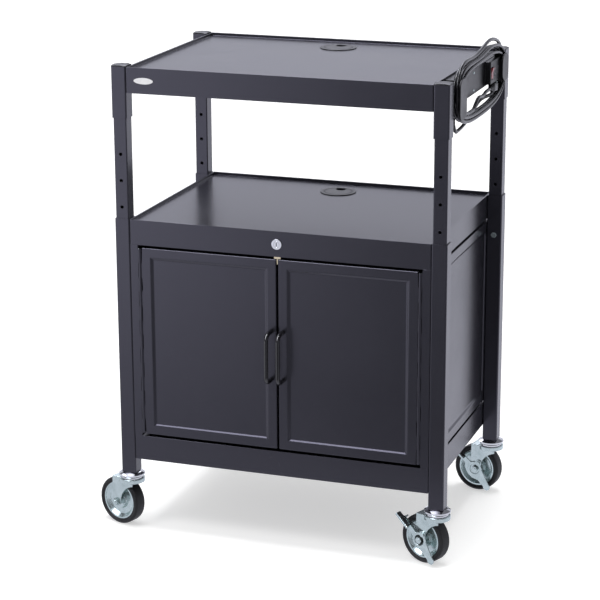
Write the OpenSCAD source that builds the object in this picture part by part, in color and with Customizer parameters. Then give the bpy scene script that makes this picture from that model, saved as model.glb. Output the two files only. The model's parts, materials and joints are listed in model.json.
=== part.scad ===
// Rolling steel cart with an adjustable top shelf, a locking cabinet, swivel
// casters and a power unit that carries its own wound cord. Millimetres, +Z up,
// the front of the cart faces -Y and the floor is at zero.

/* [Cart] */
// Width over the outer faces of the legs
cart_w = 692; // [600:1:800]
// Depth over the outer faces of the legs
cart_d = 463.5; // [460:0.5:560]
// Height of the top shelf's rim above the floor
top_rim_z = 972; // [965:1:1020]
// Height of the middle shelf's rim above the floor
middle_rim_z = 664; // [620:1:670]
// Height of the bottom shelf's rim above the floor
bottom_rim_z = 206; // [190:1:230]

/* [Leg tubes] */
// Side of the square tube of the lower legs and top sleeves
tube_side = 31.75; // [30:0.25:36]
// Wall of the square tubes
tube_wall = 1.6; // [1.2:0.1:2]
// Outer corner radius of the square tubes
tube_r = 3; // [2.2:0.1:4]
// Gap on each side between a post and the tube around it
slide_gap = 0.3; // [0.2:0.05:0.5]
// Length of the sleeves that carry the top shelf
sleeve_len = 103; // [90:1:110]
// Length of the posts that slide in the lower legs
post_len = 572; // [540:1:600]
// Diameter of the height holes in the posts
hole_d = 7; // [5:0.1:9]
// Distance between the height holes
hole_pitch = 54; // [48:1:56]
// Number of height holes in a post
hole_count = 8; // [6:1:8]
// Distance from a post's top to its highest height hole
hole_in = 176; // [150:1:200]
// Depth of the clamping bolt below the middle shelf's rim
bolt_drop = 84; // [70:1:100]
// Diameter of the clamping bolts
bolt_d = 6.4; // [5:0.1:8]
// Size across the corners of a clamping bolt's head
bolt_head_d = 12.7; // [10:0.1:15]
// Height of a clamping bolt's head
bolt_head_h = 4.5; // [3:0.1:6]
// Rise of a post cap above its tube
cap_rise = 4; // [3:0.1:6]
// Depth of a post cap's plug inside the post
cap_plug_h = 14; // [8:1:20]

/* [Shelves] */
// Height of the shelf aprons and rails
apron_h = 51.5; // [46:0.5:54]
// Thickness of the shelf sheet
sheet_t = 1.5; // [1.2:0.1:2]
// Height of the rim around a shelf surface
rim_h = 6; // [4:0.5:8]
// Width of the hem turned in under an apron
hem_w = 7; // [4:0.5:7.5]
// Radius of the bends at the apron corners
bend_r = 3; // [2:0.1:4]

/* [Badge] */
// Length of the blank oval plate
badge_w = 41; // [30:1:60]
// Height of the blank oval plate
badge_h = 12.7; // [8:0.1:20]
// Thickness of the blank oval plate
badge_t = 1.2; // [0.8:0.1:2]
// Distance from the left end of the apron to the plate's middle
badge_in = 38; // [34:1:60]

/* [Cabinet] */
// Width of the front posts beside the doors
stile_w = 17; // [15:0.5:20]
// Depth of the front posts
stile_d = 15; // [13:0.5:18]
// Strip between a front post and a door, where the hinges sit
hinge_strip = 8; // [7.4:0.1:9]
// Gap above and below the doors
door_gap_z = 5.5; // [4.5:0.1:7]
// Gap between the two doors
door_gap_x = 4.4; // [4:0.1:6]
// Depth of a door
door_d = 16; // [15:0.5:18]
// Thickness of the door and panel sheet
skin_t = 1.2; // [1:0.1:1.5]
// Plain border around the recessed field of a door or panel
field_margin = 19; // [16:0.5:24]
// Depth of the recessed field
field_drop = 3; // [2:0.1:4]
// Width of the slope around the recessed field
field_slope = 4.5; // [3:0.1:6]
// Depth of the side and back panels
panel_d = 10; // [8:0.5:12]

/* [Hinges] */
// Diameter of a hinge barrel
barrel_d = 6; // [5:0.1:6.4]
// Diameter of a hinge pin
pin_d = 3; // [2.5:0.1:3.5]
// Radial play of a pin in its barrel
pin_play = 0.05; // [0.03:0.01:0.09]
// Distance from a door's end to the end of its continuous hinge
hinge_in = 2; // [1:0.5:10]
// Number of knuckles in a hinge, an odd one
knuckle_count = 13; // [7:2:19]

/* [Handles] */
// Distance between the feet of a handle
handle_pitch = 100; // [80:1:128]
// Diameter of the handle wire
wire_d = 9; // [6:0.1:10]
// Distance from the door to the middle of the grip
handle_reach = 34; // [28:0.5:42]
// Bend radius of the handle wire
handle_bend_r = 15; // [8:0.5:18]
// Distance from a door's free edge to its handle
handle_in = 10; // [7:0.5:14]

/* [Lock] */
// Diameter of the lock's face ring
lock_ring_d = 21; // [19:0.1:24]
// Projection of the lock's face ring
lock_ring_h = 2.4; // [1.5:0.1:4]
// Diameter of the lock's barrel
lock_barrel_d = 16; // [14.5:0.1:18]
// Length of the lock's barrel behind the apron
lock_barrel_l = 8.5; // [7.5:0.1:9]
// Diameter of the turning core
core_d = 12; // [10:0.1:13]
// Length of the lock's cam from its axis
cam_len = 38; // [35:0.5:40]
// Width of the lock's cam
cam_w = 12; // [9:0.1:13]
// Thickness of the lock's cam
cam_t = 1.5; // [1:0.1:2]

/* [Door stop] */
// Width of the brass stop under the middle apron
stop_w = 14; // [10:0.5:18]
// Thickness of the brass stop
stop_t = 3; // [2:0.1:4]
// Width of the tongue that stands between the doors
stop_tongue_w = 2.4; // [2:0.1:2.8]
// Reach of the tongue below the stop
stop_tongue_l = 11; // [6:0.5:16]

/* [Grommets] */
// Diameter of a grommet's flange
grommet_d = 76; // [70:0.5:84]
// Diameter of the hole in the shelf
grommet_hole_d = 63.5; // [60:0.5:66]
// Thickness of the flange above the shelf
grommet_flange_h = 2; // [1.5:0.1:3]
// Depth of the grommet below the shelf surface
grommet_depth = 18; // [14:0.5:24]
// Wall of the grommet's tube
grommet_wall = 2; // [1.5:0.1:2.5]
// Thickness of the grommet's turning lid
lid_t = 3; // [2:0.1:4]
// Width of the cord notch in the lid
notch_w = 20; // [14:0.5:26]
// Depth of the cord notch from the lid's edge
notch_l = 22; // [16:0.5:26]
// Distance from the middle of a grommet to the shelf's rear face
grommet_in = 77; // [70:1:100]

/* [Casters] */
// Diameter of the wheels over the tyre
wheel_d = 102; // [96:1:108]
// Width of the tyre
tyre_w = 28; // [24:0.5:30]
// Diameter of the steel wheel disc inside the tyre
rim_d = 80; // [70:0.5:84]
// Distance from the swivel axis to the wheel axis
trail = 28; // [26:0.5:32]
// Gap between the tyre's top and the fork's crown
tyre_room = 2.5; // [2:0.1:4]
// Gap between the tyre's side and a fork leg
fork_room = 3.5; // [3:0.1:5]
// Thickness of the fork legs
fork_t = 2.5; // [2:0.1:3]
// Diameter of the fork's crown
crown_d = 53; // [50:0.5:54]
// Depth of the crown's turned-down skirt
skirt_h = 9; // [5:0.5:10]
// Diameter of the raceway cup
cup_d = 54; // [50:0.5:58]
// Height of the raceway cup
cup_h = 14; // [12:0.5:18]
// Gap between the cup and the crown
swivel_gap = 0.3; // [0.2:0.05:0.5]
// Diameter of the kingpin
kingpin_d = 10; // [8:0.1:12]
// Diameter of the stem inside the leg
stem_d = 11; // [9:0.1:12]
// Length of the stem inside the leg
stem_len = 42; // [30:1:60]
// Diameter of the axle
axle_d = 8; // [7:0.1:9]
// Size of the axle's nut across its corners
nut_d = 15; // [13:0.1:16]
// Height of the axle's nut
nut_h = 6; // [4:0.1:8]
// Direction of the front left caster from the cart's width, in degrees
turn_fl = 18; // [0:1:90]
// Direction of the front right caster from the cart's width, in degrees
turn_fr = 22; // [0:1:90]
// Direction of the rear left caster from the cart's width, in degrees
turn_rl = 14; // [0:1:90]
// Direction of the rear right caster from the cart's width, in degrees
turn_rr = 10; // [0:1:90]

/* [Brakes] */
// Thickness of a brake lever
lever_t = 2.5; // [2:0.1:3]
// Diameter of the brake's pivot
pivot_d = 6; // [5:0.1:7]
// Distance of the pivot ahead of the axle
pivot_ahead = 8; // [6:0.5:10]
// Height of the pivot above the axle
pivot_up = 14; // [12:0.5:16]
// Width of the pedal beside the wheel
pedal_w = 14; // [10:0.5:18]
// Length of the pedal
pedal_l = 38; // [30:0.5:42]
// Thickness of the pedal
pedal_t = 5; // [4:0.1:7]
// Slope of the pedal, in degrees
pedal_tilt = 40; // [32:1:44]
// Gap between the brake's lug and the tread, with the brake off
lug_gap = 3.4; // [3.2:0.1:4.5]

/* [Power unit] */
// Thickness of the power unit's housing
unit_t = 21; // [18:0.5:24]
// Distance from the unit's top to the shelf's rim
unit_drop = 4; // [2:0.5:8]
// Height of the power unit
unit_h = 51; // [46:0.5:54]
// Length of the power unit
unit_l = 329.5; // [320:0.5:332]
// Distance from the unit's rear end to the cart's rear
unit_rear_in = 52; // [46:1:70]
// Length of the raised outlet block
block_l = 72; // [66:1:80]
// Projection of the raised outlet block
block_t = 12; // [8:0.5:14]
// Distance from the block's rear end to the unit's rear end
block_in = 34; // [30:1:48]
// Diameter of a socket face
socket_d = 22; // [20:0.5:22.5]
// Distance between the two socket faces
socket_pitch = 24; // [23:0.5:24.5]
// Width of the rocker switch
rocker_w = 13; // [10:0.5:16]
// Height of the rocker switch
rocker_h = 24; // [18:0.5:28]
// Swing of the rocker switch, in degrees
rocker_swing = 14; // [8:1:14]

/* [Cord winding] */
// Diameter of the cord
cord_d = 7; // [6.5:0.1:7.2]
// Distance between neighbouring turns of the cord
turn_pitch = 8; // [8:0.05:8.2]
// Turns wound outwards before the winding comes back
turns_out = 2.5; // [1.5:1:2.5]
// Half the length of the innermost turn
wind_half_l = 170; // [150:1:171]
// Half the height of the innermost turn
wind_half_h = 43; // [41:0.5:45]
// Distance from the winding's middle to the unit's rear end
wind_in = 175.75; // [175:0.25:178]
// Extra spread of the slack upper strands, as a share of the turn pitch
wind_fan_share = 0.8; // [0.3:0.1:1]
// Place where the upper strands bunch together, as a share of the half length
wind_waist_share = -0.25; // [-0.35:0.05:0]
// Roundness of the winding's ends
wind_power = 2.7; // [2.5:0.1:2.8]
// Thickness of the plate on the end of a cleat
cleat_t = 3.5; // [3:0.1:5]
// Height of the front cleat's plate
cleat_front_h = 80; // [70:1:90]
// Drop of the front cleat's plate below the unit's middle
cleat_front_drop = 8; // [0:1:12]
// Height of the rear cleat's plate
cleat_rear_h = 56; // [50:1:80]
// Width of the cleats' plates
cleat_w = 50; // [42:1:54]

/* [Plug] */
// Length of the plug's body
plug_l = 34; // [28:1:38]
// Height of the plug's body
plug_h = 18; // [15:0.5:18.5]
// Thickness of the plug's body
plug_t = 17; // [14:0.5:18]
// Length of the plug's blades
blade_l = 17; // [14:0.5:18]

/* [Hidden] */
$fn = 64;

// Finishes
powder = "#3c3c43";
black = "#1c1c1f";
zinc = "#b9bec4";
brass = "#b08d3c";
red = "#8c1f25";

// How far a cut runs past the face it opens
cut = 1;
// Gap that keeps two loosely fitted pieces apart
seat_gap = 0.3;

// The casters trail to the left, so the cart is set over its own footprint
set_x = 27;
set_y = 9.5;

// Plan of the cart
half_w = cart_w / 2;
half_d = cart_d / 2;
leg_x = half_w - tube_side / 2;
leg_y = half_d - tube_side / 2;
box_w = cart_w - 2 * tube_side;
half_box = box_w / 2;

// Heights
crown_z = wheel_d + tyre_room;
crown_top_z = crown_z + fork_t;
cup_z = crown_top_z + swivel_gap;
leg_foot_z = cup_z + cup_h;
bolt_z = middle_rim_z - bolt_drop;
middle_under_z = middle_rim_z - apron_h;
door_z = bottom_rim_z + door_gap_z;
door_top_z = middle_under_z - door_gap_z;

// Square tubes, from the outside in
bore_side = tube_side - 2 * tube_wall;
post_side = bore_side - 2 * slide_gap;
post_bore = post_side - 2 * tube_wall;

module placed() {
    translate([set_x, set_y, 0]) children();
}

// A box given by its span along each axis
module slab(x, y, z) {
    translate([x[0], y[0], z[0]]) cube([x[1] - x[0], y[1] - y[0], z[1] - z[0]]);
}

module rounded_rect(w, d, r) {
    square([w - 2 * r, d], center = true);
    square([w, d - 2 * r], center = true);
    for (sx = [-1, 1], sy = [-1, 1])
        translate([sx * (w / 2 - r), sy * (d / 2 - r)]) circle(r = r);
}

module square_tube(side, wall, r, z) {
    bore_r = max(r - wall, wall / 2);
    translate([0, 0, z[0]]) linear_extrude(z[1] - z[0]) difference() {
        rounded_rect(side, side, r);
        rounded_rect(side - 2 * wall, side - 2 * wall, bore_r);
    }
}

// Lower legs: the bolt hole is on the face that looks into the cart
foot_t = 3;
stem_fit = 0.15;

module lower_leg(sx, sy) {
    placed() translate([sx * leg_x, sy * leg_y, 0]) color(powder) difference() {
        union() {
            square_tube(tube_side, tube_wall, tube_r, [leg_foot_z, middle_rim_z]);
            translate([0, 0, leg_foot_z]) linear_extrude(foot_t)
                square(bore_side + tube_wall, center = true);
        }
        translate([0, 0, leg_foot_z - cut]) cylinder(d = stem_d + 2 * stem_fit, h = foot_t + 2 * cut);
        translate([0, 0, bolt_z]) rotate([sy * 90, 0, 0])
            cylinder(d = bolt_d + 2 * slide_gap, h = tube_side / 2 + cut);
    }
}

// Each bolt stops inside the leg's wall, short of the post
module height_bolts() {
    placed() color(zinc) for (sx = [-1, 1], sy = [-1, 1])
        translate([sx * leg_x, sy * leg_y, bolt_z]) rotate([sy * 90, 0, 0])
            translate([0, 0, bore_side / 2]) {
                cylinder(d = bolt_d, h = tube_wall + cut);
                translate([0, 0, tube_wall]) cylinder(d = bolt_head_d, h = bolt_head_h, $fn = 6);
            }
}

// Sliding posts, drilled right through for the clamping bolts
module post(sx, sy) {
    placed() translate([sx * leg_x, sy * leg_y, 0]) color(powder) difference() {
        square_tube(post_side, tube_wall, tube_r - tube_wall / 2, [top_rim_z - post_len, top_rim_z]);
        for (k = [0 : hole_count - 1])
            translate([0, 0, top_rim_z - hole_in - k * hole_pitch]) rotate([90, 0, 0])
                cylinder(d = hole_d, h = tube_side, center = true);
    }
}

module top_sleeves() {
    placed() color(powder) for (sx = [-1, 1], sy = [-1, 1])
        translate([sx * leg_x, sy * leg_y, 0])
            square_tube(tube_side, tube_wall, tube_r, [top_rim_z - sleeve_len, top_rim_z]);
}

// Domed plastic caps, plugged into the posts
dome_share = 1.4;
dome_r = dome_share * (tube_side * tube_side / 2 + cap_rise * cap_rise) / (2 * cap_rise);

module post_cap() {
    translate([0, 0, top_rim_z]) {
        intersection() {
            linear_extrude(cap_rise) rounded_rect(tube_side, tube_side, tube_r);
            translate([0, 0, cap_rise - dome_r]) sphere(r = dome_r, $fn = 96);
        }
        translate([0, 0, -cap_plug_h]) linear_extrude(cap_plug_h)
            square(post_bore - 2 * seat_gap, center = true);
    }
}

module post_caps() {
    placed() color(black) for (sx = [-1, 1], sy = [-1, 1])
        translate([sx * leg_x, sy * leg_y, 0]) post_cap();
}

// Shelves: a tray on top, a hollow below, and a hem turned in under the aprons
module shelf_pan(rim_z) {
    under_z = rim_z - apron_h;
    rim_w = 2 * sheet_t;
    difference() {
        translate([0, 0, under_z]) linear_extrude(apron_h) rounded_rect(box_w, cart_d, bend_r);
        slab([-half_box + rim_w, half_box - rim_w], [-half_d + rim_w, half_d - rim_w],
            [rim_z - rim_h, rim_z + cut]);
        slab([-half_box + sheet_t, half_box - sheet_t], [-half_d + sheet_t, half_d - sheet_t],
            [under_z + sheet_t, rim_z - rim_h - sheet_t]);
        slab([-half_box + hem_w, half_box - hem_w], [-half_d + hem_w + sheet_t, half_d - hem_w - sheet_t],
            [under_z - cut, under_z + 2 * sheet_t]);
    }
}

// Each grommet's flange lies in a shallow seat that is pressed into the surface
grommet_y = half_d - grommet_in;
flange_seat_h = 0.3;
flange_seat_room = 0.6;

module grommet_cut(surface_z) {
    translate([0, grommet_y, surface_z - apron_h / 2]) cylinder(d = grommet_hole_d, h = apron_h);
    translate([0, grommet_y, surface_z - flange_seat_h])
        cylinder(d = grommet_d + 2 * flange_seat_room, h = flange_seat_h + cut);
}

module top_shelf() {
    placed() color(powder) difference() {
        shelf_pan(top_rim_z);
        grommet_cut(top_rim_z - rim_h);
    }
}

lock_z = middle_rim_z - apron_h / 2;

module middle_shelf() {
    placed() color(powder) difference() {
        shelf_pan(middle_rim_z);
        grommet_cut(middle_rim_z - rim_h);
        translate([0, -half_d - cut, lock_z]) rotate([-90, 0, 0])
            cylinder(d = lock_barrel_d + 2 * seat_gap, h = sheet_t + 2 * cut);
    }
}

module bottom_shelf() {
    placed() color(powder) shelf_pan(bottom_rim_z);
}

// A pan-formed sheet with a recessed field. It stands in X and Z from the origin,
// its face is at Y zero and its flanges run back along +Y.
module pan_sheet(w, h, depth, hem, margin_x) {
    lip = field_margin;
    slope = field_slope;
    difference() {
        slab([0, w], [0, depth], [0, h]);
        difference() {
            slab([skin_t, w - skin_t], [skin_t, depth - skin_t], [skin_t, h - skin_t]);
            slab([margin_x - skin_t, w - margin_x + skin_t], [0, field_drop + skin_t],
                [lip - skin_t, h - lip + skin_t]);
        }
        slab([hem, w - hem], [depth - 2 * skin_t, depth + cut], [hem, h - hem]);
        field_cut(w - 2 * margin_x, h - 2 * lip, [margin_x, lip], slope);
    }
}

// The recessed field: a sloped wall all round and a flat floor, cut where two
// tapered bars cross
module field_bar(size, slope, length) {
    over = slope * cut / field_drop;
    linear_extrude(length, center = true) polygon([
        [-size / 2 + slope, field_drop],
        [size / 2 - slope, field_drop],
        [size / 2 + over, -cut],
        [-size / 2 - over, -cut]]);
}

module field_cut(w, h, at, slope) {
    translate([at[0] + w / 2, 0, at[1] + h / 2]) intersection() {
        field_bar(w, slope, h + 2 * cut + 2 * slope);
        rotate([0, -90, 0]) field_bar(h, slope, w + 2 * cut + 2 * slope);
    }
}

// Side and back panels: the field is framed by a backing flange that reaches
// from the bottom shelf's rim to the middle shelf's hem
backing_h = middle_under_z - bottom_rim_z;
door_h = door_top_z - door_z;

module cabinet_panel(w, margin_x) {
    translate([0, 0, door_z]) pan_sheet(w, door_h, panel_d, panel_d, margin_x);
    difference() {
        slab([0, w], [panel_d - skin_t, panel_d], [bottom_rim_z, bottom_rim_z + backing_h]);
        slab([panel_d, w - panel_d], [0, panel_d + cut], [door_z + panel_d, door_top_z - panel_d]);
    }
}

side_panel_w = cart_d - stile_d;
side_margin = tube_side + field_margin - stile_d;

// On both sides the panel runs from the front post to the rear face
module side_panel(sx) {
    placed() color(powder)
        translate([sx * half_box, sx > 0 ? half_d - side_panel_w : half_d, 0])
            rotate([0, 0, sx * 90]) cabinet_panel(side_panel_w, side_margin);
}

module side_panel_left() {
    side_panel(-1);
}

module side_panel_right() {
    side_panel(1);
}

back_w = box_w - 2 * panel_d;

module back_panel() {
    placed() color(powder) translate([back_w / 2, half_d, 0]) rotate([0, 0, 180])
        cabinet_panel(back_w, field_margin + panel_d);
}

// Continuous hinges: the axis lies in the plane of the front faces, and the
// front post holds every other knuckle
hinge_x = half_box - stile_w - hinge_strip / 2;
hinge_z = door_z + hinge_in;
hinge_len = door_h - 2 * hinge_in;
knuckle_l = hinge_len / knuckle_count;
knuckle_play = 0.15;

module knuckle(z, side, l) {
    difference() {
        union() {
            translate([0, 0, z]) cylinder(d = barrel_d, h = l);
            slab(side > 0 ? [0, hinge_strip / 2] : [-hinge_strip / 2, 0], [0, skin_t], [z, z + l]);
        }
        translate([0, 0, z - cut]) cylinder(d = pin_d + 2 * pin_play, h = l + 2 * cut);
    }
}

module knuckles(first, side) {
    for (k = [first : 2 : knuckle_count - 1])
        knuckle(hinge_z + k * knuckle_l + knuckle_play / 2, side, knuckle_l - knuckle_play);
}

// Front posts: folded channels that carry the fixed hinge knuckles
module front_stile(sx) {
    placed() color(powder) {
        difference() {
            slab(sx > 0 ? [half_box - stile_w, half_box] : [-half_box, -half_box + stile_w],
                [-half_d, -half_d + stile_d], [bottom_rim_z, middle_under_z]);
            slab(sx > 0 ? [half_box - stile_w + skin_t, half_box - skin_t]
                    : [-half_box + skin_t, -half_box + stile_w - skin_t],
                [-half_d + skin_t, -half_d + stile_d + cut],
                [bottom_rim_z - cut, middle_under_z + cut]);
        }
        translate([sx * hinge_x, -half_d, 0]) knuckles(0, sx);
    }
}

module front_stile_left() {
    front_stile(-1);
}

module front_stile_right() {
    front_stile(1);
}

module hinge_pins() {
    placed() color(zinc) for (sx = [-1, 1])
        translate([sx * hinge_x, -half_d, hinge_z]) cylinder(d = pin_d, h = hinge_len);
}

// Doors: a slot through their meeting corners takes the lock's cam, which swings
// down from the right
door_x0 = door_gap_x / 2;
door_w = half_box - stile_w - hinge_strip - door_x0;
notch_room = 2;
cam_drop = lock_z - door_top_z;
cam_sweep = sqrt(cam_len * cam_len - cam_drop * cam_drop);

module door(sx) {
    cam_y = sheet_t + lock_barrel_l;
    placed() color(powder) translate([0, -half_d, 0]) {
        difference() {
            translate([sx > 0 ? door_x0 : -door_x0 - door_w, 0, door_z])
                pan_sheet(door_w, door_h, door_d, panel_d, field_margin);
            slab([-cam_w / 2 - notch_room, cam_sweep + notch_room],
                [cam_y - notch_room, cam_y + cam_t + notch_room],
                [lock_z - cam_len - notch_room, door_top_z + cut]);
        }
        translate([sx * hinge_x, 0, 0]) knuckles(1, -sx);
    }
}

module door_left() {
    door(-1);
}

module door_right() {
    door(1);
}

// Wire pulls, bent from one round bar
handle_z = (door_z + door_top_z) / 2;

module handle(sx) {
    straight = handle_pitch - 2 * handle_bend_r;
    placed() color(black) translate([sx * (door_x0 + handle_in), -half_d, handle_z]) {
        translate([0, -handle_reach, -straight / 2]) cylinder(d = wire_d, h = straight);
        for (sz = [-1, 1]) scale([1, 1, sz]) {
            translate([0, 0, handle_pitch / 2]) rotate([90, 0, 0])
                cylinder(d = wire_d, h = handle_reach - handle_bend_r);
            translate([0, -handle_reach + handle_bend_r, straight / 2]) rotate([0, -90, 0])
                rotate([0, 0, -90]) rotate_extrude(angle = 90)
                    translate([handle_bend_r, 0]) circle(d = wire_d);
        }
    }
}

module handle_left() {
    handle(-1);
}

module handle_right() {
    handle(1);
}

// Lock: ring and barrel in the apron, a turning core with a keyhole, and its cam
core_play = 0.05;
key_w = 1.6;
key_h = 7;
key_l = 6;

module lock_housing() {
    placed() color(zinc) translate([0, -half_d, lock_z]) rotate([-90, 0, 0]) difference() {
        union() {
            translate([0, 0, -lock_ring_h]) cylinder(d = lock_ring_d, h = lock_ring_h);
            cylinder(d = lock_barrel_d, h = sheet_t + lock_barrel_l - seat_gap);
        }
        translate([0, 0, -lock_ring_h - cut])
            cylinder(d = core_d + 2 * core_play, h = lock_ring_h + sheet_t + lock_barrel_l + 2 * cut);
    }
}

module lock_core() {
    placed() color(zinc) translate([0, -half_d, lock_z]) rotate([-90, 0, 0]) difference() {
        translate([0, 0, -lock_ring_h]) cylinder(d = core_d, h = lock_ring_h + sheet_t + lock_barrel_l);
        translate([0, 0, -lock_ring_h - cut]) linear_extrude(key_l + cut)
            square([key_w, key_h], center = true);
    }
}

module lock_cam() {
    placed() color(brass) translate([0, -half_d + sheet_t + lock_barrel_l, lock_z])
        rotate([-90, 0, 0]) linear_extrude(cam_t) {
            circle(d = lock_barrel_d - 2 * slide_gap);
            translate([0, -cam_w / 2]) square([cam_len - cam_w / 2, cam_w]);
            translate([cam_len - cam_w / 2, 0]) circle(d = cam_w);
        }
}

// Brass stop: a bar under the apron's hem with a tongue between the doors
stop_in = 2.5;
stop_room = 0.6;

module door_stop() {
    stop_y = [-half_d + stop_in, -half_d + stop_in + stop_t];
    bar_z = door_top_z + stop_room;
    placed() color(brass) {
        slab([-stop_w / 2, stop_w / 2], stop_y, [bar_z, middle_under_z]);
        slab([-stop_tongue_w / 2, stop_tongue_w / 2], stop_y, [bar_z - stop_tongue_l, bar_z]);
    }
}

// Cable grommets: a flanged tube in the shelf and a lid that turns in it
lid_d = grommet_hole_d - 2 * grommet_wall - 4 * seat_gap;
ledge_w = 2;

module grommet(surface_z) {
    tube_d = grommet_hole_d - 2 * seat_gap;
    lid_z = surface_z + grommet_flange_h - lid_t;
    placed() color(black) translate([0, grommet_y, 0]) difference() {
        union() {
            translate([0, 0, surface_z]) cylinder(d = grommet_d, h = grommet_flange_h);
            translate([0, 0, surface_z - grommet_depth]) cylinder(d = tube_d, h = grommet_depth);
        }
        translate([0, 0, lid_z - seat_gap])
            cylinder(d = lid_d + 2 * seat_gap, h = lid_t + seat_gap + cut);
        translate([0, 0, surface_z - grommet_depth - cut])
            cylinder(d = lid_d - 2 * ledge_w, h = grommet_depth + cut);
    }
}

module grommet_lid(surface_z) {
    lid_z = surface_z + grommet_flange_h - lid_t;
    straight = notch_l - notch_w / 2;
    placed() color(black) translate([0, grommet_y, lid_z]) difference() {
        cylinder(d = lid_d, h = lid_t);
        translate([0, lid_d / 2 - straight, -cut]) cylinder(d = notch_w, h = lid_t + 2 * cut);
        slab([-notch_w / 2, notch_w / 2], [lid_d / 2 - straight, lid_d / 2 + cut], [-cut, lid_t + cut]);
    }
}

module middle_grommet() {
    grommet(middle_rim_z - rim_h - flange_seat_h);
}

module top_grommet() {
    grommet(top_rim_z - rim_h - flange_seat_h);
}

module middle_grommet_lid() {
    grommet_lid(middle_rim_z - rim_h - flange_seat_h);
}

module top_grommet_lid() {
    grommet_lid(top_rim_z - rim_h - flange_seat_h);
}

// Blank oval plate on the front apron
badge_points = 48;

module badge() {
    outline = [for (i = [0 : badge_points - 1])
        let (a = 360 * i / badge_points) [badge_w / 2 * cos(a), badge_h / 2 * sin(a)]];
    placed() color("#e6e6e8")
        translate([-half_box + badge_in, -half_d, top_rim_z - apron_h / 2])
            rotate([90, 0, 0]) linear_extrude(badge_t) polygon(outline);
}

// Casters. Each is drawn about its swivel axis with the wheel towards +X, so the
// side with the nut and the brake is +Y.
corners = [["fl", -1, -1, turn_fl], ["fr", 1, -1, turn_fr], ["rl", -1, 1, turn_rl], ["rr", 1, 1, turn_rr]];
fork_in = tyre_w / 2 + fork_room;
fork_out = fork_in + fork_t;
wheel_r = wheel_d / 2;
pin_r_play = 0.05;

module at_corner(c) {
    placed() translate([c[1] * leg_x, c[2] * leg_y, 0]) rotate([0, 0, 180 - c[3]]) children();
}

module at_axle() {
    translate([trail, 0, wheel_r]) children();
}

rivet_head_h = 2;
cup_step_share = 0.45;
cup_groove = 8;
cup_neck_d = cup_d - cup_groove;

module caster_stem() {
    step_h = cup_h * cup_step_share;
    translate([0, 0, cup_z]) cylinder(d = cup_neck_d, h = step_h);
    translate([0, 0, cup_z + step_h / 2]) cylinder(d1 = cup_neck_d, d2 = cup_d, h = step_h / 2);
    translate([0, 0, cup_z + step_h]) cylinder(d = cup_d, h = step_h / 2);
    translate([0, 0, cup_z + step_h * 3 / 2])
        cylinder(d1 = cup_d, d2 = tube_side, h = leg_foot_z - cup_z - step_h * 3 / 2);
    translate([0, 0, leg_foot_z - cut]) cylinder(d = stem_d, h = stem_len + cut);
    translate([0, 0, crown_z - seat_gap]) cylinder(d = kingpin_d, h = fork_t + 2 * seat_gap + cut);
    translate([0, 0, crown_z - seat_gap - rivet_head_h]) cylinder(d = kingpin_d * 3 / 2, h = rivet_head_h);
}

module caster_stems() {
    color(zinc) for (c = corners) at_corner(c) caster_stem();
}

// Fork: crown with a turned-down skirt, and two legs that sweep in to the axle
fork_front = 16;
fork_back = 10;
fork_eye_r = 11;
fork_sweep_r = 42;

module fork_leg_shape() {
    difference() {
        polygon([
            [-fork_front, wheel_r],
            [-fork_front, crown_top_z],
            [trail + fork_back, crown_top_z],
            [trail + fork_eye_r, wheel_r]]);
        translate([trail - fork_eye_r - fork_sweep_r, wheel_r]) circle(r = fork_sweep_r);
    }
    translate([trail, wheel_r]) circle(r = fork_eye_r);
}

module fork(braked) {
    difference() {
        union() {
            translate([0, 0, crown_z]) cylinder(d = crown_d, h = fork_t);
            difference() {
                translate([0, 0, crown_top_z - skirt_h]) cylinder(d = crown_d, h = skirt_h);
                translate([0, 0, crown_top_z - skirt_h - cut])
                    cylinder(d = crown_d - 2 * fork_t, h = skirt_h);
                at_axle() rotate([90, 0, 0])
                    cylinder(r = wheel_r + tyre_room, h = 2 * fork_in, center = true);
            }
            slab([-fork_front, trail + fork_back], [-fork_out, fork_out], [crown_z, crown_top_z]);
            for (y = [-fork_out, fork_in]) translate([0, y + fork_t, 0]) rotate([90, 0, 0])
                linear_extrude(fork_t) fork_leg_shape();
            if (braked) translate([trail - pivot_ahead, fork_out, wheel_r + pivot_up])
                rotate([-90, 0, 0]) {
                    cylinder(d = pivot_d, h = lever_t + 2 * seat_gap);
                    translate([0, 0, lever_t + 2 * seat_gap])
                        cylinder(d = pivot_d * 3 / 2, h = rivet_head_h);
                }
        }
        translate([0, 0, crown_z - cut]) cylinder(d = kingpin_d + 2 * pin_r_play, h = fork_t + 2 * cut);
        at_axle() rotate([90, 0, 0])
            cylinder(d = axle_d + 2 * stem_fit, h = 2 * fork_out + cut, center = true);
    }
}

module axle() {
    at_axle() rotate([-90, 0, 0]) {
        translate([0, 0, -fork_out]) cylinder(d = axle_d, h = 2 * fork_out + nut_h + cut);
        translate([0, 0, fork_out]) cylinder(d = nut_d, h = nut_h, $fn = 6);
        translate([0, 0, -fork_out - nut_h]) cylinder(d = nut_d, h = nut_h, $fn = 6);
    }
}

// Stamped wheel disc, turned from its half section
hub_r = 9;
boss_r = 19;
rim_t = 3;
rim_half_share = 0.42;
web_half_share = 0.16;
boss_half_share = 0.34;

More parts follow.
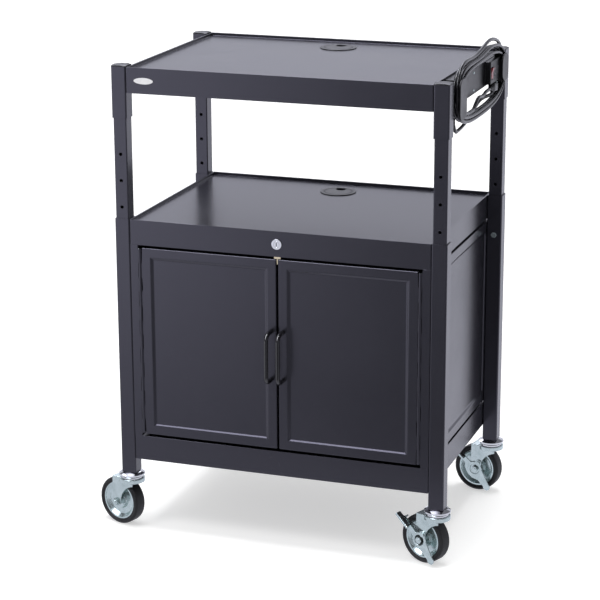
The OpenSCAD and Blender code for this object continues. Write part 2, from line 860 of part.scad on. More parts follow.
module wheel() {
    hub_half = fork_in - seat_gap;
    rim_r = rim_d / 2;
    rim_half = tyre_w * rim_half_share;
    web_half = tyre_w * web_half_share;
    boss_half = tyre_w * boss_half_share;
    side = [
        [hub_r, hub_half], [hub_r, boss_half], [boss_r - rim_t, boss_half], [boss_r, web_half],
        [rim_r - 3 * rim_t, web_half], [rim_r - rim_t, rim_half - rim_t / 2],
        [rim_r - rim_t, rim_half], [rim_r, rim_half]];
    bore = axle_d / 2 + pin_r_play;
    outline = concat([[bore, hub_half]], side,
        [for (i = [len(side) - 1 : -1 : 0]) [side[i][0], -side[i][1]]], [[bore, -hub_half]]);
    at_axle() rotate([90, 0, 0]) rotate_extrude() polygon(outline);
}

// Rubber tyre with rounded shoulders
shoulder_r = 5;
tyre_steps = 6;

module tyre() {
    half = tyre_w / 2;
    shoulder = [for (i = [0 : tyre_steps])
        let (a = 90 * i / tyre_steps)
        [wheel_r - shoulder_r + shoulder_r * cos(a), half - shoulder_r + shoulder_r * sin(a)]];
    outline = concat(shoulder,
        [[rim_d / 2 + seat_gap, half - rim_t], [rim_d / 2 + seat_gap, -half + rim_t]],
        [for (i = [tyre_steps : -1 : 0]) [shoulder[i][0], -shoulder[i][1]]]);
    at_axle() rotate([90, 0, 0]) rotate_extrude() polygon(outline);
}

// Brake: a stamped lever beside the wheel. Its pedal is pressed down, and its lug
// then closes on the tread.
ring_r = 17;
ring_bore_r = 11;
tab_end = [-29, -37];
tab_half_w = 8;
arm_half_w = 6;
lug_t = 3;
lug_w = 10;
lug_in = 6;
arm_reach = 50;

module brake() {
    play = pin_r_play;
    arm = [cos(pedal_tilt), sin(pedal_tilt)];
    across = [-arm[1], arm[0]];
    at_axle() translate([0, fork_out + seat_gap, 0]) {
        rotate([90, 0, 0]) translate([0, 0, -lever_t]) linear_extrude(lever_t) difference() {
            union() {
                circle(r = ring_r);
                translate([-pivot_ahead, pivot_up]) circle(d = pivot_d * 5 / 2);
                polygon([-arm_half_w * across, arm_reach * arm - arm_half_w * across,
                    arm_reach * arm + arm_half_w * across, arm_half_w * across]);
                polygon([[-ring_r, 0], tab_end - [tab_half_w, 0], tab_end + [tab_half_w, 0], [0, -ring_r]]);
                translate(tab_end) circle(r = tab_half_w);
            }
            circle(r = ring_bore_r);
            translate([-pivot_ahead, pivot_up]) circle(d = pivot_d + 2 * play);
        }
        rotate([0, -pedal_tilt, 0]) {
            translate([0, 0, arm_half_w - pedal_t / 2]) slab([wheel_r - pedal_l / 2, wheel_r + pedal_l / 2],
                [0, pedal_w], [-pedal_t / 2, pedal_t / 2]);
            slab([wheel_r + lug_gap, wheel_r + lug_gap + lug_t], [-fork_out + lug_in, lever_t],
                [-lug_w / 2, lug_w / 2]);
        }
    }
}

// Power unit on the right of the top shelf
unit_x = half_box;
face_x = unit_x + unit_t;
unit_top_z = top_rim_z - unit_drop;
unit_z = unit_top_z - unit_h;
unit_rear_y = half_d - unit_rear_in;
unit_y = [unit_rear_y - unit_l, unit_rear_y];
block_rise = 4;
socket_in = 4;
block_y = [unit_rear_y - block_in - block_l, unit_rear_y - block_in];
block_x = face_x + block_t;
block_z = unit_z + block_rise;
rocker_y = block_y[0] + rocker_w;
socket_y = block_y[1] - socket_d / 2 - socket_in;
socket_z = (unit_z + unit_top_z) / 2;
rocker_room = 0.4;
socket_t = 2.5;
socket_ys = [socket_y, socket_y - socket_pitch];

module power_housing() {
    placed() color(black) difference() {
        union() {
            slab([unit_x, face_x], unit_y, [unit_z, unit_top_z]);
            slab([face_x - cut, block_x], block_y, [block_z, unit_top_z - cut]);
        }
        slab([face_x, block_x + cut],
            [rocker_y - rocker_w / 2 - rocker_room, rocker_y + rocker_w / 2 + rocker_room],
            [socket_z - rocker_h / 2 - rocker_room, socket_z + rocker_h / 2 + rocker_room]);
        for (y = socket_ys) translate([block_x - socket_t, y, socket_z]) rotate([0, 90, 0])
            cylinder(d = socket_d, h = socket_t + cut);
    }
}

// Socket face with two blade slots and an earth hole
slot_w = 2;
slot_l = 7;
slot_pitch = 12.7;
earth_d = 4.8;

module power_sockets() {
    floor_t = socket_t / 3;
    placed() color("#2b2b2f") for (y = socket_ys)
        translate([block_x - socket_t, y, socket_z]) rotate([0, 90, 0]) difference() {
            cylinder(d = socket_d, h = socket_t);
            for (s = [-1, 1]) slab([-slot_l / 2, slot_l / 2],
                [s * slot_pitch / 2 - slot_w / 2, s * slot_pitch / 2 + slot_w / 2],
                [floor_t, socket_t + cut]);
            translate([slot_l, 0, floor_t]) cylinder(d = earth_d, h = socket_t);
        }
}

// Rocker: it tilts on two short pivots, and the half that is pressed lies level
rocker_pivot_d = 3;
rocker_pivot_in = 2;

module rocker_switch() {
    half = rocker_h / 2 - 2 * rocker_room;
    raised = rocker_room + half * tan(rocker_swing);
    placed() color(red) translate([block_x, rocker_y, socket_z]) rotate([90, 0, 0]) {
        linear_extrude(rocker_w - 2 * rocker_room, center = true)
            polygon([[-block_t / 2, -half / 2], [0, -half], [rocker_room, -half], [rocker_room, 0],
                [raised, half], [0, half], [-block_t / 2, half / 2]]);
        translate([-rocker_pivot_in, 0, 0]) cylinder(d = rocker_pivot_d, h = rocker_w, center = true);
    }
}

// Winding: turns of a rounded outline that grow outwards against the unit, cross
// over at the top and come back in. The upper strands hang looser than the lower.
wind_lift_share = 0.35;
wind_z = unit_z + unit_h * wind_lift_share;
wind_y = unit_rear_y - wind_in;
inner_x = face_x + 2 * seat_gap + cord_d / 2;
layer_x = [inner_x, inner_x + turn_pitch];
rings_a_turn = 24;
cord_sides = 6;
lead_sides = 8;

function pow_sign(v, p) = sign(v) * pow(abs(v), p);

// Spread of the upper strands along the winding: none at the waist, full beyond it
fan_rate_share = 1.25;
function wind_fan(c) = (1 - cos(180 * min(1, fan_rate_share * abs(c - wind_waist_share)))) / 2;

function unit(v) = v / norm(v);

// A point of the winding at turn count t, grown square to the outline by g
function wind_point(t, g, x) = let (
        a = 360 * t - 90,
        c = pow_sign(cos(a), 2 / wind_power),
        s = pow_sign(sin(a), 2 / wind_power),
        out = unit([pow_sign(c, wind_power - 1) / wind_half_l, pow_sign(s, wind_power - 1) / wind_half_h]),
        up = s > 0 ? 1 + wind_fan_share * wind_fan(c) : 1)
    [x, wind_y + wind_half_l * c + g * out[0], wind_z + wind_half_h * s + g * up * out[1]];

function wind_growth(t) = turn_pitch * (t < turns_out ? t : 2 * turns_out - t);

// Crossing from one layer to the next takes the half turn around the reversal
function wind_layer(t) = let (k = (t - turns_out) * 2 + 1 / 2)
    k <= 0 ? layer_x[0] : k >= 1 ? layer_x[1] : layer_x[0] + (layer_x[1] - layer_x[0]) * k;

// Where the cord leaves the unit and where the wound part ends
gland_x = unit_x + unit_t / 2;
gland_in = 25;
gland_y = unit_y[0] + gland_in;
gland_h = 24;
gland_wall = 2.2;
gland_bend = 4 * cord_d;
gland_steps = 5;
start_z = unit_z - gland_h;
first_share = 0.05;
last_share = 0.07;
wound = [for (k = [0 : rings_a_turn * 2 * turns_out])
    let (t = k / rings_a_turn) if (t >= first_share && t <= 2 * turns_out - last_share)
        wind_point(t, wind_growth(t), wind_layer(t))];
leaving = concat(
    [[gland_x, gland_y, start_z], [gland_x, gland_y, start_z - cord_d]],
    [for (i = [1 : gland_steps]) let (a = 90 * i / gland_steps)
        [gland_x, gland_y + gland_bend * (1 - cos(a)), start_z - cord_d - gland_bend * sin(a)]]);
bend_end = leaving[len(leaving) - 1];
join = wound[0];
rise_shares = [[0.25, 0.05, 0.12], [0.5, 0.16, 0.5], [0.75, 0.45, 0.95]];
joining = [for (s = rise_shares) [
    bend_end[0] + (join[0] - bend_end[0]) * s[1],
    bend_end[1] + (join[1] - bend_end[1]) * s[0],
    bend_end[2] + (join[2] - bend_end[2]) * s[2]]];
last = wound[len(wound) - 1];
wind_end = [last[0], last[1] + 3 * cord_d, last[2]];
winding_path = concat(leaving, joining, wound, [wind_end - [0, cord_d, 0], wind_end]);

// Least gap between the winding's own turns, measured from each point of the
// tube to every stretch at least half a turn away
function stretch_gap(p, a, b) = let (ab = b - a, k = max(0, min(1, (p - a) * ab / (ab * ab))))
    norm(p - a - k * ab) - cord_d;
half_turn = rings_a_turn / 2;
least_gap = min([for (i = [0 : len(winding_path) - 1])
    for (k = [i + half_turn : 1 : len(winding_path) - 2])
        stretch_gap(winding_path[i], winding_path[k], winding_path[k + 1])]);
function path_length(p) = len(p) < 2 ? 0 : let (steps = [for (i = [1 : len(p) - 1]) norm(p[i] - p[i - 1])])
    steps * [for (s = steps) 1];
echo(least_gap = least_gap, winding_length = path_length(winding_path));

// Lead from the winding to the parked plug, in places taken from its two ends
plug_in = 6;
blade_t = 1.6;
blade_h = 6.4;
plug_y = block_y[0] + plug_in;
plug_x = face_x + seat_gap + plug_t / 2;
plug_z = block_z - seat_gap - plug_h / 2;
lead_end = [plug_x, plug_y, plug_z];
lead_shares = [
    [0, 0.05, 0], [0.05, 0.12, 0.06], [0.15, 0.2, 0.35], [0.3, 0.3, 0.75], [0.45, 0.4, 0.95],
    [0.6, 0.5, 0.9], [0.75, 0.6, 0.78], [0.9, 0.7, 0.82], [1, 0.8, 0.97], [1, 0.9, 1]];
lead_path = concat([wind_end],
    [for (s = lead_shares) [
        wind_end[0] + (lead_end[0] - wind_end[0]) * s[0],
        wind_end[1] + (lead_end[1] - wind_end[1]) * s[1],
        wind_end[2] + (lead_end[2] - wind_end[2]) * s[2]]],
    [lead_end]);

// Tangents along a path, square at both ends
function tangents(p) = let (n = len(p)) [for (i = [0 : n - 1])
    i == 0 ? unit(p[1] - p[0]) : i == n - 1 ? unit(p[n - 1] - p[n - 2])
        : unit(unit(p[i + 1] - p[i]) + unit(p[i] - p[i - 1]))];

// One closed tube along a path that never runs along X
module tube(path, d, sides) {
    n = len(path);
    t = tangents(path);
    rings = [for (i = [0 : n - 1]) let (u = unit(cross(t[i], [1, 0, 0])), v = cross(u, t[i]))
        for (j = [0 : sides - 1]) let (a = 360 * j / sides) path[i] + d / 2 * (u * cos(a) + v * sin(a))];
    walls = [for (i = [0 : n - 2], j = [0 : sides - 1])
        let (a = i * sides + j, b = i * sides + (j + 1) % sides, c = a + sides, e = b + sides)
            each [[a, c, b], [b, c, e]]];
    first = [for (j = [1 : sides - 2]) [0, j, j + 1]];
    base = (n - 1) * sides;
    final = [for (j = [1 : sides - 2]) [base, base + j + 1, base + j]];
    polyhedron(points = rings, faces = concat(walls, first, final));
}

module cord_gland() {
    placed() color(black) translate([gland_x, gland_y, start_z])
        cylinder(d1 = cord_d + gland_wall, d2 = cord_d + 3 * gland_wall, h = gland_h);
}

module cord_winding() {
    placed() color(black) tube(winding_path, cord_d, cord_sides);
}

module cord_lead() {
    placed() color(black) tube(lead_path, cord_d, lead_sides);
}

module plug() {
    placed() {
        color(black) slab([plug_x - plug_t / 2, plug_x + plug_t / 2], [plug_y, plug_y + plug_l],
            [plug_z - plug_h / 2, plug_z + plug_h / 2]);
        color(zinc) for (s = [-1, 1]) slab([plug_x - blade_h / 2, plug_x + blade_h / 2],
            [plug_y + plug_l, plug_y + plug_l + blade_l],
            [plug_z + s * slot_pitch / 2 - blade_t / 2, plug_z + s * slot_pitch / 2 + blade_t / 2]);
    }
}

// Cleats: a rounded core that fills the inside of the winding's end, and a plate
// that keeps the turns on it
core_in = 22;
core_room = 1.4;

core_points = 64;

module cleat(sy, plate_h, plate_z) {
    inner_l = wind_half_l - cord_d / 2 - core_room;
    inner_h = wind_half_h - cord_d / 2 - core_room;
    inside = [for (i = [0 : core_points - 1]) let (a = 360 * i / core_points) [
        wind_y + inner_l * pow_sign(cos(a), 2 / wind_power),
        wind_z + inner_h * pow_sign(sin(a), 2 / wind_power)]];
    tip_y = wind_y + sy * inner_l;
    plate_x = layer_x[1] + cord_d / 2 + seat_gap;
    translate([face_x, 0, 0]) rotate([90, 0, 90]) linear_extrude(plate_x - face_x) intersection() {
        polygon(inside);
        translate([tip_y - sy * core_in / 2, socket_z]) square([core_in, unit_h], center = true);
    }
    translate([plate_x, tip_y, plate_z]) rotate([90, 0, 90])
        linear_extrude(cleat_t) rounded_rect(cleat_w, plate_h, cleat_w / 3);
}

module cord_cleats() {
    placed() color(black) {
        cleat(-1, cleat_front_h, socket_z - cleat_front_drop);
        cleat(1, cleat_rear_h, socket_z);
    }
}

lower_leg(-1, -1);  // lower_leg_fl
lower_leg(1, -1);  // lower_leg_fr
lower_leg(-1, 1);  // lower_leg_rl
lower_leg(1, 1);  // lower_leg_rr
middle_shelf();
bottom_shelf();
side_panel_left();
side_panel_right();
back_panel();
front_stile_left();
front_stile_right();
hinge_pins();
height_bolts();
lock_housing();
door_stop();
middle_grommet();
caster_stems();
top_shelf();
top_sleeves();
post(-1, -1);  // post_fl
post(1, -1);  // post_fr
post(-1, 1);  // post_rl
post(1, 1);  // post_rr
post_caps();
top_grommet();
badge();
power_housing();
power_sockets();
cord_cleats();
cord_gland();
cord_winding();
cord_lead();
plug();
door_left();
door_right();
handle_left();
handle_right();
lock_core();
lock_cam();
middle_grommet_lid();
top_grommet_lid();
rocker_switch();
color(zinc) at_corner(corners[0]) fork(false);  // fork_fl
color(zinc) at_corner(corners[0]) axle();  // axle_fl
color(zinc) at_corner(corners[0]) wheel();  // wheel_fl
color(black) at_corner(corners[0]) tyre();  // tyre_fl
color(zinc) at_corner(corners[1]) fork(true);  // fork_fr
color(zinc) at_corner(corners[1]) axle();  // axle_fr
color(zinc) at_corner(corners[1]) wheel();  // wheel_fr
color(black) at_corner(corners[1]) tyre();  // tyre_fr
color(zinc) at_corner(corners[1]) brake();  // brake_fr
color(zinc) at_corner(corners[2]) fork(false);  // fork_rl
color(zinc) at_corner(corners[2]) axle();  // axle_rl
color(zinc) at_corner(corners[2]) wheel();  // wheel_rl
color(black) at_corner(corners[2]) tyre();  // tyre_rl
color(zinc) at_corner(corners[3]) fork(true);  // fork_rr
color(zinc) at_corner(corners[3]) axle();  // axle_rr
color(zinc) at_corner(corners[3]) wheel();  // wheel_rr
color(black) at_corner(corners[3]) tyre();  // tyre_rr
color(zinc) at_corner(corners[3]) brake();  // brake_rr
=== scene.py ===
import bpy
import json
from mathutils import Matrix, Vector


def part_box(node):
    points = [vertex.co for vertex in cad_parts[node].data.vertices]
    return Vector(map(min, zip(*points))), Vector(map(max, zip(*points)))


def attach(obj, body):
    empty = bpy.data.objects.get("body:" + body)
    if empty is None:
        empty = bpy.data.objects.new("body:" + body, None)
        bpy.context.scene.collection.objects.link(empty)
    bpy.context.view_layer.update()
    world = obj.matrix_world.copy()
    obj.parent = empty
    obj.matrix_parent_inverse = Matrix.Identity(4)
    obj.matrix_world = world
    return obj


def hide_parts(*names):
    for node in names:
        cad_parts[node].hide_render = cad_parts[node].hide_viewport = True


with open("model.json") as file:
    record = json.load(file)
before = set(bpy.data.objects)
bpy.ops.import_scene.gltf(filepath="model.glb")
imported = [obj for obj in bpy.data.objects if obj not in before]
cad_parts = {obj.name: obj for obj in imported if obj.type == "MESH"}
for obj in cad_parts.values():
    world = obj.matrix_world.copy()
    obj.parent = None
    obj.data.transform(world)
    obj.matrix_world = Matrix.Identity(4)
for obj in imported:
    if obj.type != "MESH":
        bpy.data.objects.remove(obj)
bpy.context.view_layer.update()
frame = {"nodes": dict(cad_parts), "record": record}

import json
import math

import bmesh
import bpy
from mathutils import Matrix, Vector

nodes = frame["nodes"]
bodyOf = {node: body for body, members in frame["record"]["behaviour"]["bodies"].items() for node in members}
slotOf = {row["node"]: row["material_slot"] for row in frame["record"]["subparts"]}
print("stage: frame loaded,", len(nodes), "solids")

mm = 0.001
origin = {"x": 27, "y": 9.5}  # of the part's source, in mm in this frame
seat = 0.3  # mm between seated pieces


# Camera, at the photograph's viewing angle

camera = {
    "place": (1.391, -3.9902, 1.6815),
    "pitch": 16.107,  # degrees below the horizon
    "yaw": 19.254,  # degrees to the left of straight ahead
    "roll": -0.208,
    "lens": 126.6,
}


def makeCamera():
    data = bpy.data.cameras.new("studioCamera")
    data.lens = camera["lens"]
    data.sensor_width = 36
    data.clip_end = 100
    seen = bpy.data.objects.new("studioCamera", data)
    turned = Matrix.Rotation(math.radians(camera["yaw"]), 4, "Z")
    tipped = Matrix.Rotation(math.radians(90 - camera["pitch"]), 4, "X")
    rolled = Matrix.Rotation(math.radians(camera["roll"]), 4, "Z")
    seen.matrix_world = Matrix.Translation(camera["place"]) @ turned @ tipped @ rolled
    bpy.context.scene.collection.objects.link(seen)
    bpy.context.scene.camera = seen


makeCamera()


# Cord: the same route as the part's source, in millimetres and with more points

cord = {
    "diameter": 7, "pitch": 8, "turnsOut": 2.5,
    "crossTurns": 0.5,  # in which the winding goes from its inner to its outer layer
    "startTurn": 0.05, "endShort": 0.07,
    "halfLength": 170, "halfHeight": 43, "middleY": 4,
    "power": 2.7,  # 2 is an ellipse, more is squarer
    "fan": 0.8, "waist": -0.25, "fanRate": 1.25,  # how the upper runs spread on either side of a waist
    "unitX": 314.25, "unitThick": 21, "unitLow": 917, "unitHeight": 51, "lift": 0.35,
    "unitFront": -149.75, "glandIn": 25, "glandLength": 24,
    "leadBend": 4, "endRun": 3,  # diameters
    "bendSteps": 5,
    # ways from the gland to the winding and from the winding to the plug, as shares along x, y and z
    "joining": ((0.05, 0.25, 0.12), (0.16, 0.5, 0.5), (0.45, 0.75, 0.95)),
    "plugLead": ((0, 0.05, 0), (0.05, 0.12, 0.06), (0.15, 0.2, 0.35), (0.3, 0.3, 0.75), (0.45, 0.4, 0.95),
                 (0.6, 0.5, 0.9), (0.75, 0.6, 0.78), (0.9, 0.7, 0.82), (1, 0.8, 0.97), (1, 0.9, 1)),
    "plugY": 79.75, "plugThick": 17, "plugTop": 920.7, "plugHeight": 18,
    "ringsATurn": 24,
    "finer": 3,  # curve points for each of the solid's rings
    "smoothSteps": 3, "skinSteps": 4,
}
cordLayers = [cord["unitX"] + cord["unitThick"] + 2 * seat + cord["diameter"] / 2 + k * cord["pitch"]
              for k in (0, 1)]
windZ = cord["unitLow"] + cord["unitHeight"] * cord["lift"]


def signedPower(value, power):
    return math.copysign(abs(value) ** power, value)


def windPoint(turn):
    # a point of the winding's middle line, in mm
    out = cord["turnsOut"]
    growth = cord["pitch"] * (turn if turn < out else 2 * out - turn)
    crossing = min(1, max(0, (turn - out) / cord["crossTurns"] + 0.5))
    x = cordLayers[0] + (cordLayers[1] - cordLayers[0]) * crossing
    angle = math.radians(360 * turn - 90)
    c = signedPower(math.cos(angle), 2 / cord["power"])
    s = signedPower(math.sin(angle), 2 / cord["power"])
    normal = Vector((signedPower(c, cord["power"] - 1) / cord["halfLength"],
                     signedPower(s, cord["power"] - 1) / cord["halfHeight"])).normalized()
    spread = min(1, cord["fanRate"] * abs(c - cord["waist"]))
    up = 1 + cord["fan"] * (1 - math.cos(math.pi * spread)) / 2 if s > 0 else 1
    return Vector((x, cord["middleY"] + cord["halfLength"] * c + growth * normal[0],
                   windZ + cord["halfHeight"] * s + growth * up * normal[1]))


def between(start, end, share):
    return Vector([start[i] + (end[i] - start[i]) * share[i] for i in range(3)])


def cordRoute():
    d = cord["diameter"]
    rings = cord["ringsATurn"]
    turns = 2 * cord["turnsOut"]
    kept = [k / rings for k in range(int(rings * turns) + 1)
            if cord["startTurn"] <= k / rings <= turns - cord["endShort"]]
    wound = [windPoint(kept[0] + k / rings / cord["finer"])
             for k in range((len(kept) - 1) * cord["finer"] + 1)]
    x = cord["unitX"] + cord["unitThick"] / 2
    y = cord["unitFront"] + cord["glandIn"]
    z = cord["unitLow"] - cord["glandLength"]
    bend = cord["leadBend"] * d
    leaving = [Vector((x, y, z)), Vector((x, y, z - d))]
    for i in range(1, cord["bendSteps"] + 1):
        a = math.pi / 2 * i / cord["bendSteps"]
        leaving.append(Vector((x, y + bend * (1 - math.cos(a)), z - d - bend * math.sin(a))))
    joining = [between(leaving[-1], wound[0], share) for share in cord["joining"]]
    end = wound[-1] + Vector((0, cord["endRun"] * d, 0))
    plugEnd = Vector((cord["unitX"] + cord["unitThick"] + seat + cord["plugThick"] / 2, cord["plugY"],
                      cord["plugTop"] - cord["plugHeight"] / 2))
    lead = [between(end, plugEnd, share) for share in cord["plugLead"]]
    route = leaving + joining + wound + [end - Vector((0, d, 0)), end] + lead + [plugEnd]
    return [(point + Vector((origin["x"], origin["y"], 0))) * mm for point in route]


def smoothed(points, steps):
    # rounds off a route, leaving its two ends straight
    line = [points[0]]
    for i in range(len(points) - 1):
        before = points[max(0, i - 1)]
        after = points[min(len(points) - 1, i + 2)]
        a, b = points[i], points[i + 1]
        for k in range(1, steps + 1):
            t = k / steps
            line.append(0.5 * ((2 * a) + (b - before) * t + (2 * before - 5 * a + 4 * b - after) * t * t
                               + (3 * a - before - 3 * b + after) * t ** 3))
    return line


def makeCord():
    route = smoothed(cordRoute(), cord["smoothSteps"])
    data = bpy.data.curves.new("powerCord", "CURVE")
    data.dimensions = "3D"
    spline = data.splines.new("POLY")
    spline.points.add(len(route) - 1)
    for point, place in zip(spline.points, route):
        point.co = (*place, 1)
    data.bevel_depth = cord["diameter"] / 2 * mm
    data.bevel_resolution = cord["skinSteps"]
    data.use_fill_caps = True
    spline.use_smooth = True
    piece = bpy.data.objects.new("powerCord", data)
    bpy.context.scene.collection.objects.link(piece)
    length = sum((b - a).length for a, b in zip(route, route[1:]))
    return piece, route, length


cordPiece, cordLine, cordLength = makeCord()
print("stage: cord laid,", round(cordLength, 3), "m")


# Shader groups: each puts out masks, values or heights that change over a surface


def newGroup(name, inputs, outputs):
    group = bpy.data.node_groups.new(name, "ShaderNodeTree")
    for label, kind, value in inputs:
        socket = group.interface.new_socket(name=label, in_out="INPUT", socket_type=kind)
        socket.default_value = value
    for label, kind in outputs:
        group.interface.new_socket(name=label, in_out="OUTPUT", socket_type=kind)
    return group, group.nodes.new("NodeGroupInput"), group.nodes.new("NodeGroupOutput")


def addNode(tree, kind, values=None, links=None, **settings):
    # adds a node, sets its own settings and socket values, and links its inputs
    made = tree.nodes.new(kind)
    for key, value in settings.items():
        setattr(made, key, value)
    for key, value in (values or {}).items():
        made.inputs[key].default_value = value
    for key, source in (links or {}).items():
        tree.links.new(source, made.inputs[key])
    return made


def math2(tree, operation, a, b, clamp=False):
    values = {k: v for k, v in ((0, a), (1, b)) if isinstance(v, (int, float))}
    links = {k: v for k, v in ((0, a), (1, b)) if not isinstance(v, (int, float))}
    return addNode(tree, "ShaderNodeMath", values, links, operation=operation, use_clamp=clamp).outputs[0]


def ramp(tree, value, span, ends=(0, 1)):
    # takes a value from one span to another and holds it at the ends
    return addNode(tree, "ShaderNodeMapRange", {"From Min": span[0], "From Max": span[1], "To Min": ends[0],
                                                "To Max": ends[1]}, {"Value": value}).outputs[0]


def mix(tree, kind, factor, a, b):
    # a at factor 0 and b at factor 1, each a value or a socket
    values, links = {}, {"Factor": factor}
    for key, given in (("A", a), ("B", b)):
        (links if isinstance(given, bpy.types.NodeSocket) else values)[key] = given
    return addNode(tree, "ShaderNodeMix", values, links, data_type=kind).outputs["Result"]


grains = {
    "speckFiner": 3.1,  # than the orange peel
    "cloudShare": 0.85, "spangleShare": 0.15,
    "scuffLine": 0.012, "patchScale": 9, "patchSpan": (0.55, 0.75), "scuffHigh": 0.15, "scuffRough": 0.2,
    "toneSpan": (0.3, 0.7), "metalBump": 0.6,
}


def makeGrainGroup():
    # orange peel and fine speckle of a sprayed or moulded skin
    group, given, result = newGroup(
        "skinGrain",
        [("Scale", "NodeSocketFloat", 900), ("Speckle", "NodeSocketFloat", 0.4),
         ("Cloud", "NodeSocketFloat", 6)],
        [("Height", "NodeSocketFloat"), ("Cloudiness", "NodeSocketFloat")])
    place = addNode(group, "ShaderNodeTexCoord").outputs["Object"]
    peel = addNode(group, "ShaderNodeTexNoise", {"Detail": 2, "Roughness": 0.5},
                   {"Vector": place, "Scale": given.outputs["Scale"]})
    fineScale = math2(group, "MULTIPLY", given.outputs["Scale"], grains["speckFiner"])
    speck = addNode(group, "ShaderNodeTexVoronoi", {}, {"Vector": place, "Scale": fineScale})
    share = math2(group, "MULTIPLY", speck.outputs["Distance"], given.outputs["Speckle"])
    height = math2(group, "ADD", peel.outputs[0], share)
    cloud = addNode(group, "ShaderNodeTexNoise", {"Detail": 4, "Roughness": 0.6},
                    {"Vector": place, "Scale": given.outputs["Cloud"]})
    group.links.new(height, result.inputs["Height"])
    group.links.new(cloud.outputs[0], result.inputs["Cloudiness"])
    return group


def makeBrushGroup():
    # drawn lines of rolled or plated steel, running along one axis
    group, given, result = newGroup(
        "drawnLines",
        [("Stretch", "NodeSocketVector", (900, 900, 40)), ("Spangle", "NodeSocketFloat", 90)],
        [("Height", "NodeSocketFloat"), ("Tone", "NodeSocketFloat")])
    place = addNode(group, "ShaderNodeTexCoord").outputs["Object"]
    stretched = addNode(group, "ShaderNodeMapping", {}, {"Vector": place, "Scale": given.outputs["Stretch"]})
    lines = addNode(group, "ShaderNodeTexNoise", {"Scale": 1, "Detail": 3, "Roughness": 0.65},
                    {"Vector": stretched.outputs[0]})
    spangle = addNode(group, "ShaderNodeTexVoronoi", {"Randomness": 1},
                      {"Vector": place, "Scale": given.outputs["Spangle"]})
    cloud = addNode(group, "ShaderNodeTexNoise", {"Detail": 3},
                    {"Vector": place, "Scale": given.outputs["Spangle"]})
    tint = addNode(group, "ShaderNodeSeparateColor", {}, {"Color": spangle.outputs["Color"]})
    tone = math2(group, "ADD", math2(group, "MULTIPLY", cloud.outputs[0], grains["cloudShare"]),
                 math2(group, "MULTIPLY", tint.outputs[0], grains["spangleShare"]))
    group.links.new(lines.outputs[0], result.inputs["Height"])
    group.links.new(tone, result.inputs["Tone"])
    return group


def makeScuffGroup():
    # sparse hairline scuffs, denser near the floor
    group, given, result = newGroup(
        "hairScuffs",
        [("Scale", "NodeSocketFloat", 60), ("Reach", "NodeSocketFloat", 0.5),
         ("Amount", "NodeSocketFloat", 0.5)],
        [("Mask", "NodeSocketFloat")])
    place = addNode(group, "ShaderNodeTexCoord").outputs["Object"]
    warp = addNode(group, "ShaderNodeTexNoise", {"Detail": 2},
                   {"Vector": place, "Scale": given.outputs["Scale"]})
    thin = math2(group, "ABSOLUTE", math2(group, "SUBTRACT", warp.outputs[0], 0.5), 0)
    line = ramp(group, thin, (0, grains["scuffLine"]), (1, 0))
    patch = addNode(group, "ShaderNodeTexNoise", {"Scale": grains["patchScale"], "Detail": 2},
                    {"Vector": place})
    patches = ramp(group, patch.outputs[0], grains["patchSpan"])
    height = addNode(group, "ShaderNodeSeparateXYZ", {}, {"Vector": place}).outputs["Z"]
    low = addNode(group, "ShaderNodeMapRange", {"From Min": 0.0, "To Min": 1, "To Max": grains["scuffHigh"]},
                  {"Value": height, "From Max": given.outputs["Reach"]})
    mask = math2(group, "MULTIPLY", math2(group, "MULTIPLY", line, patches), low.outputs[0])
    group.links.new(math2(group, "MULTIPLY", mask, given.outputs["Amount"], True), result.inputs["Mask"])
    return group


grainGroup = makeGrainGroup()
brushGroup = makeBrushGroup()
scuffGroup = makeScuffGroup()


# Finishes


def newMaterial(name):
    material = bpy.data.materials.new(name)
    material.use_nodes = True
    tree = material.node_tree
    return material, tree, tree.nodes["Principled BSDF"]


def placeGroup(tree, group, values):
    made = tree.nodes.new("ShaderNodeGroup")
    made.node_tree = group
    for key, value in values.items():
        made.inputs[key].default_value = value
    return made


def addBump(tree, shader, height, distance, strength=1.0):
    made = addNode(tree, "ShaderNodeBump", {"Strength": strength, "Distance": distance}, {"Height": height})
    tree.links.new(made.outputs[0], shader.inputs["Normal"])


def skinMaterial(name, look):
    # a painted or moulded skin with orange peel, faint clouds and a few scuffs
    material, tree, shader = newMaterial(name)
    grain = placeGroup(tree, grainGroup, {"Scale": look["grain"], "Speckle": look["speckle"],
                                          "Cloud": look["cloud"]})
    scuff = placeGroup(tree, scuffGroup, {"Scale": look["scuffScale"], "Reach": look["scuffReach"],
                                          "Amount": look["scuff"]})
    cloudiness = grain.outputs["Cloudiness"]
    colour = mix(tree, "RGBA", cloudiness, (*look["dark"], 1), (*look["light"], 1))
    scuffed = mix(tree, "RGBA", scuff.outputs["Mask"], colour, (*look["worn"], 1))
    tree.links.new(scuffed, shader.inputs["Base Color"])
    rough = ramp(tree, cloudiness, grains["toneSpan"], look["rough"])
    rougher = math2(tree, "MULTIPLY", scuff.outputs["Mask"], grains["scuffRough"])
    tree.links.new(math2(tree, "ADD", rough, rougher), shader.inputs["Roughness"])
    shader.inputs["IOR"].default_value = look["ior"]
    shader.inputs["Specular IOR Level"].default_value = look["specular"]
    shader.inputs["Specular Tint"].default_value = (*look["tint"], 1)
    shader.inputs["Coat Weight"].default_value = look["coat"]
    shader.inputs["Coat Roughness"].default_value = look["coatRough"]
    addBump(tree, shader, grain.outputs["Height"], look["bump"])
    return material


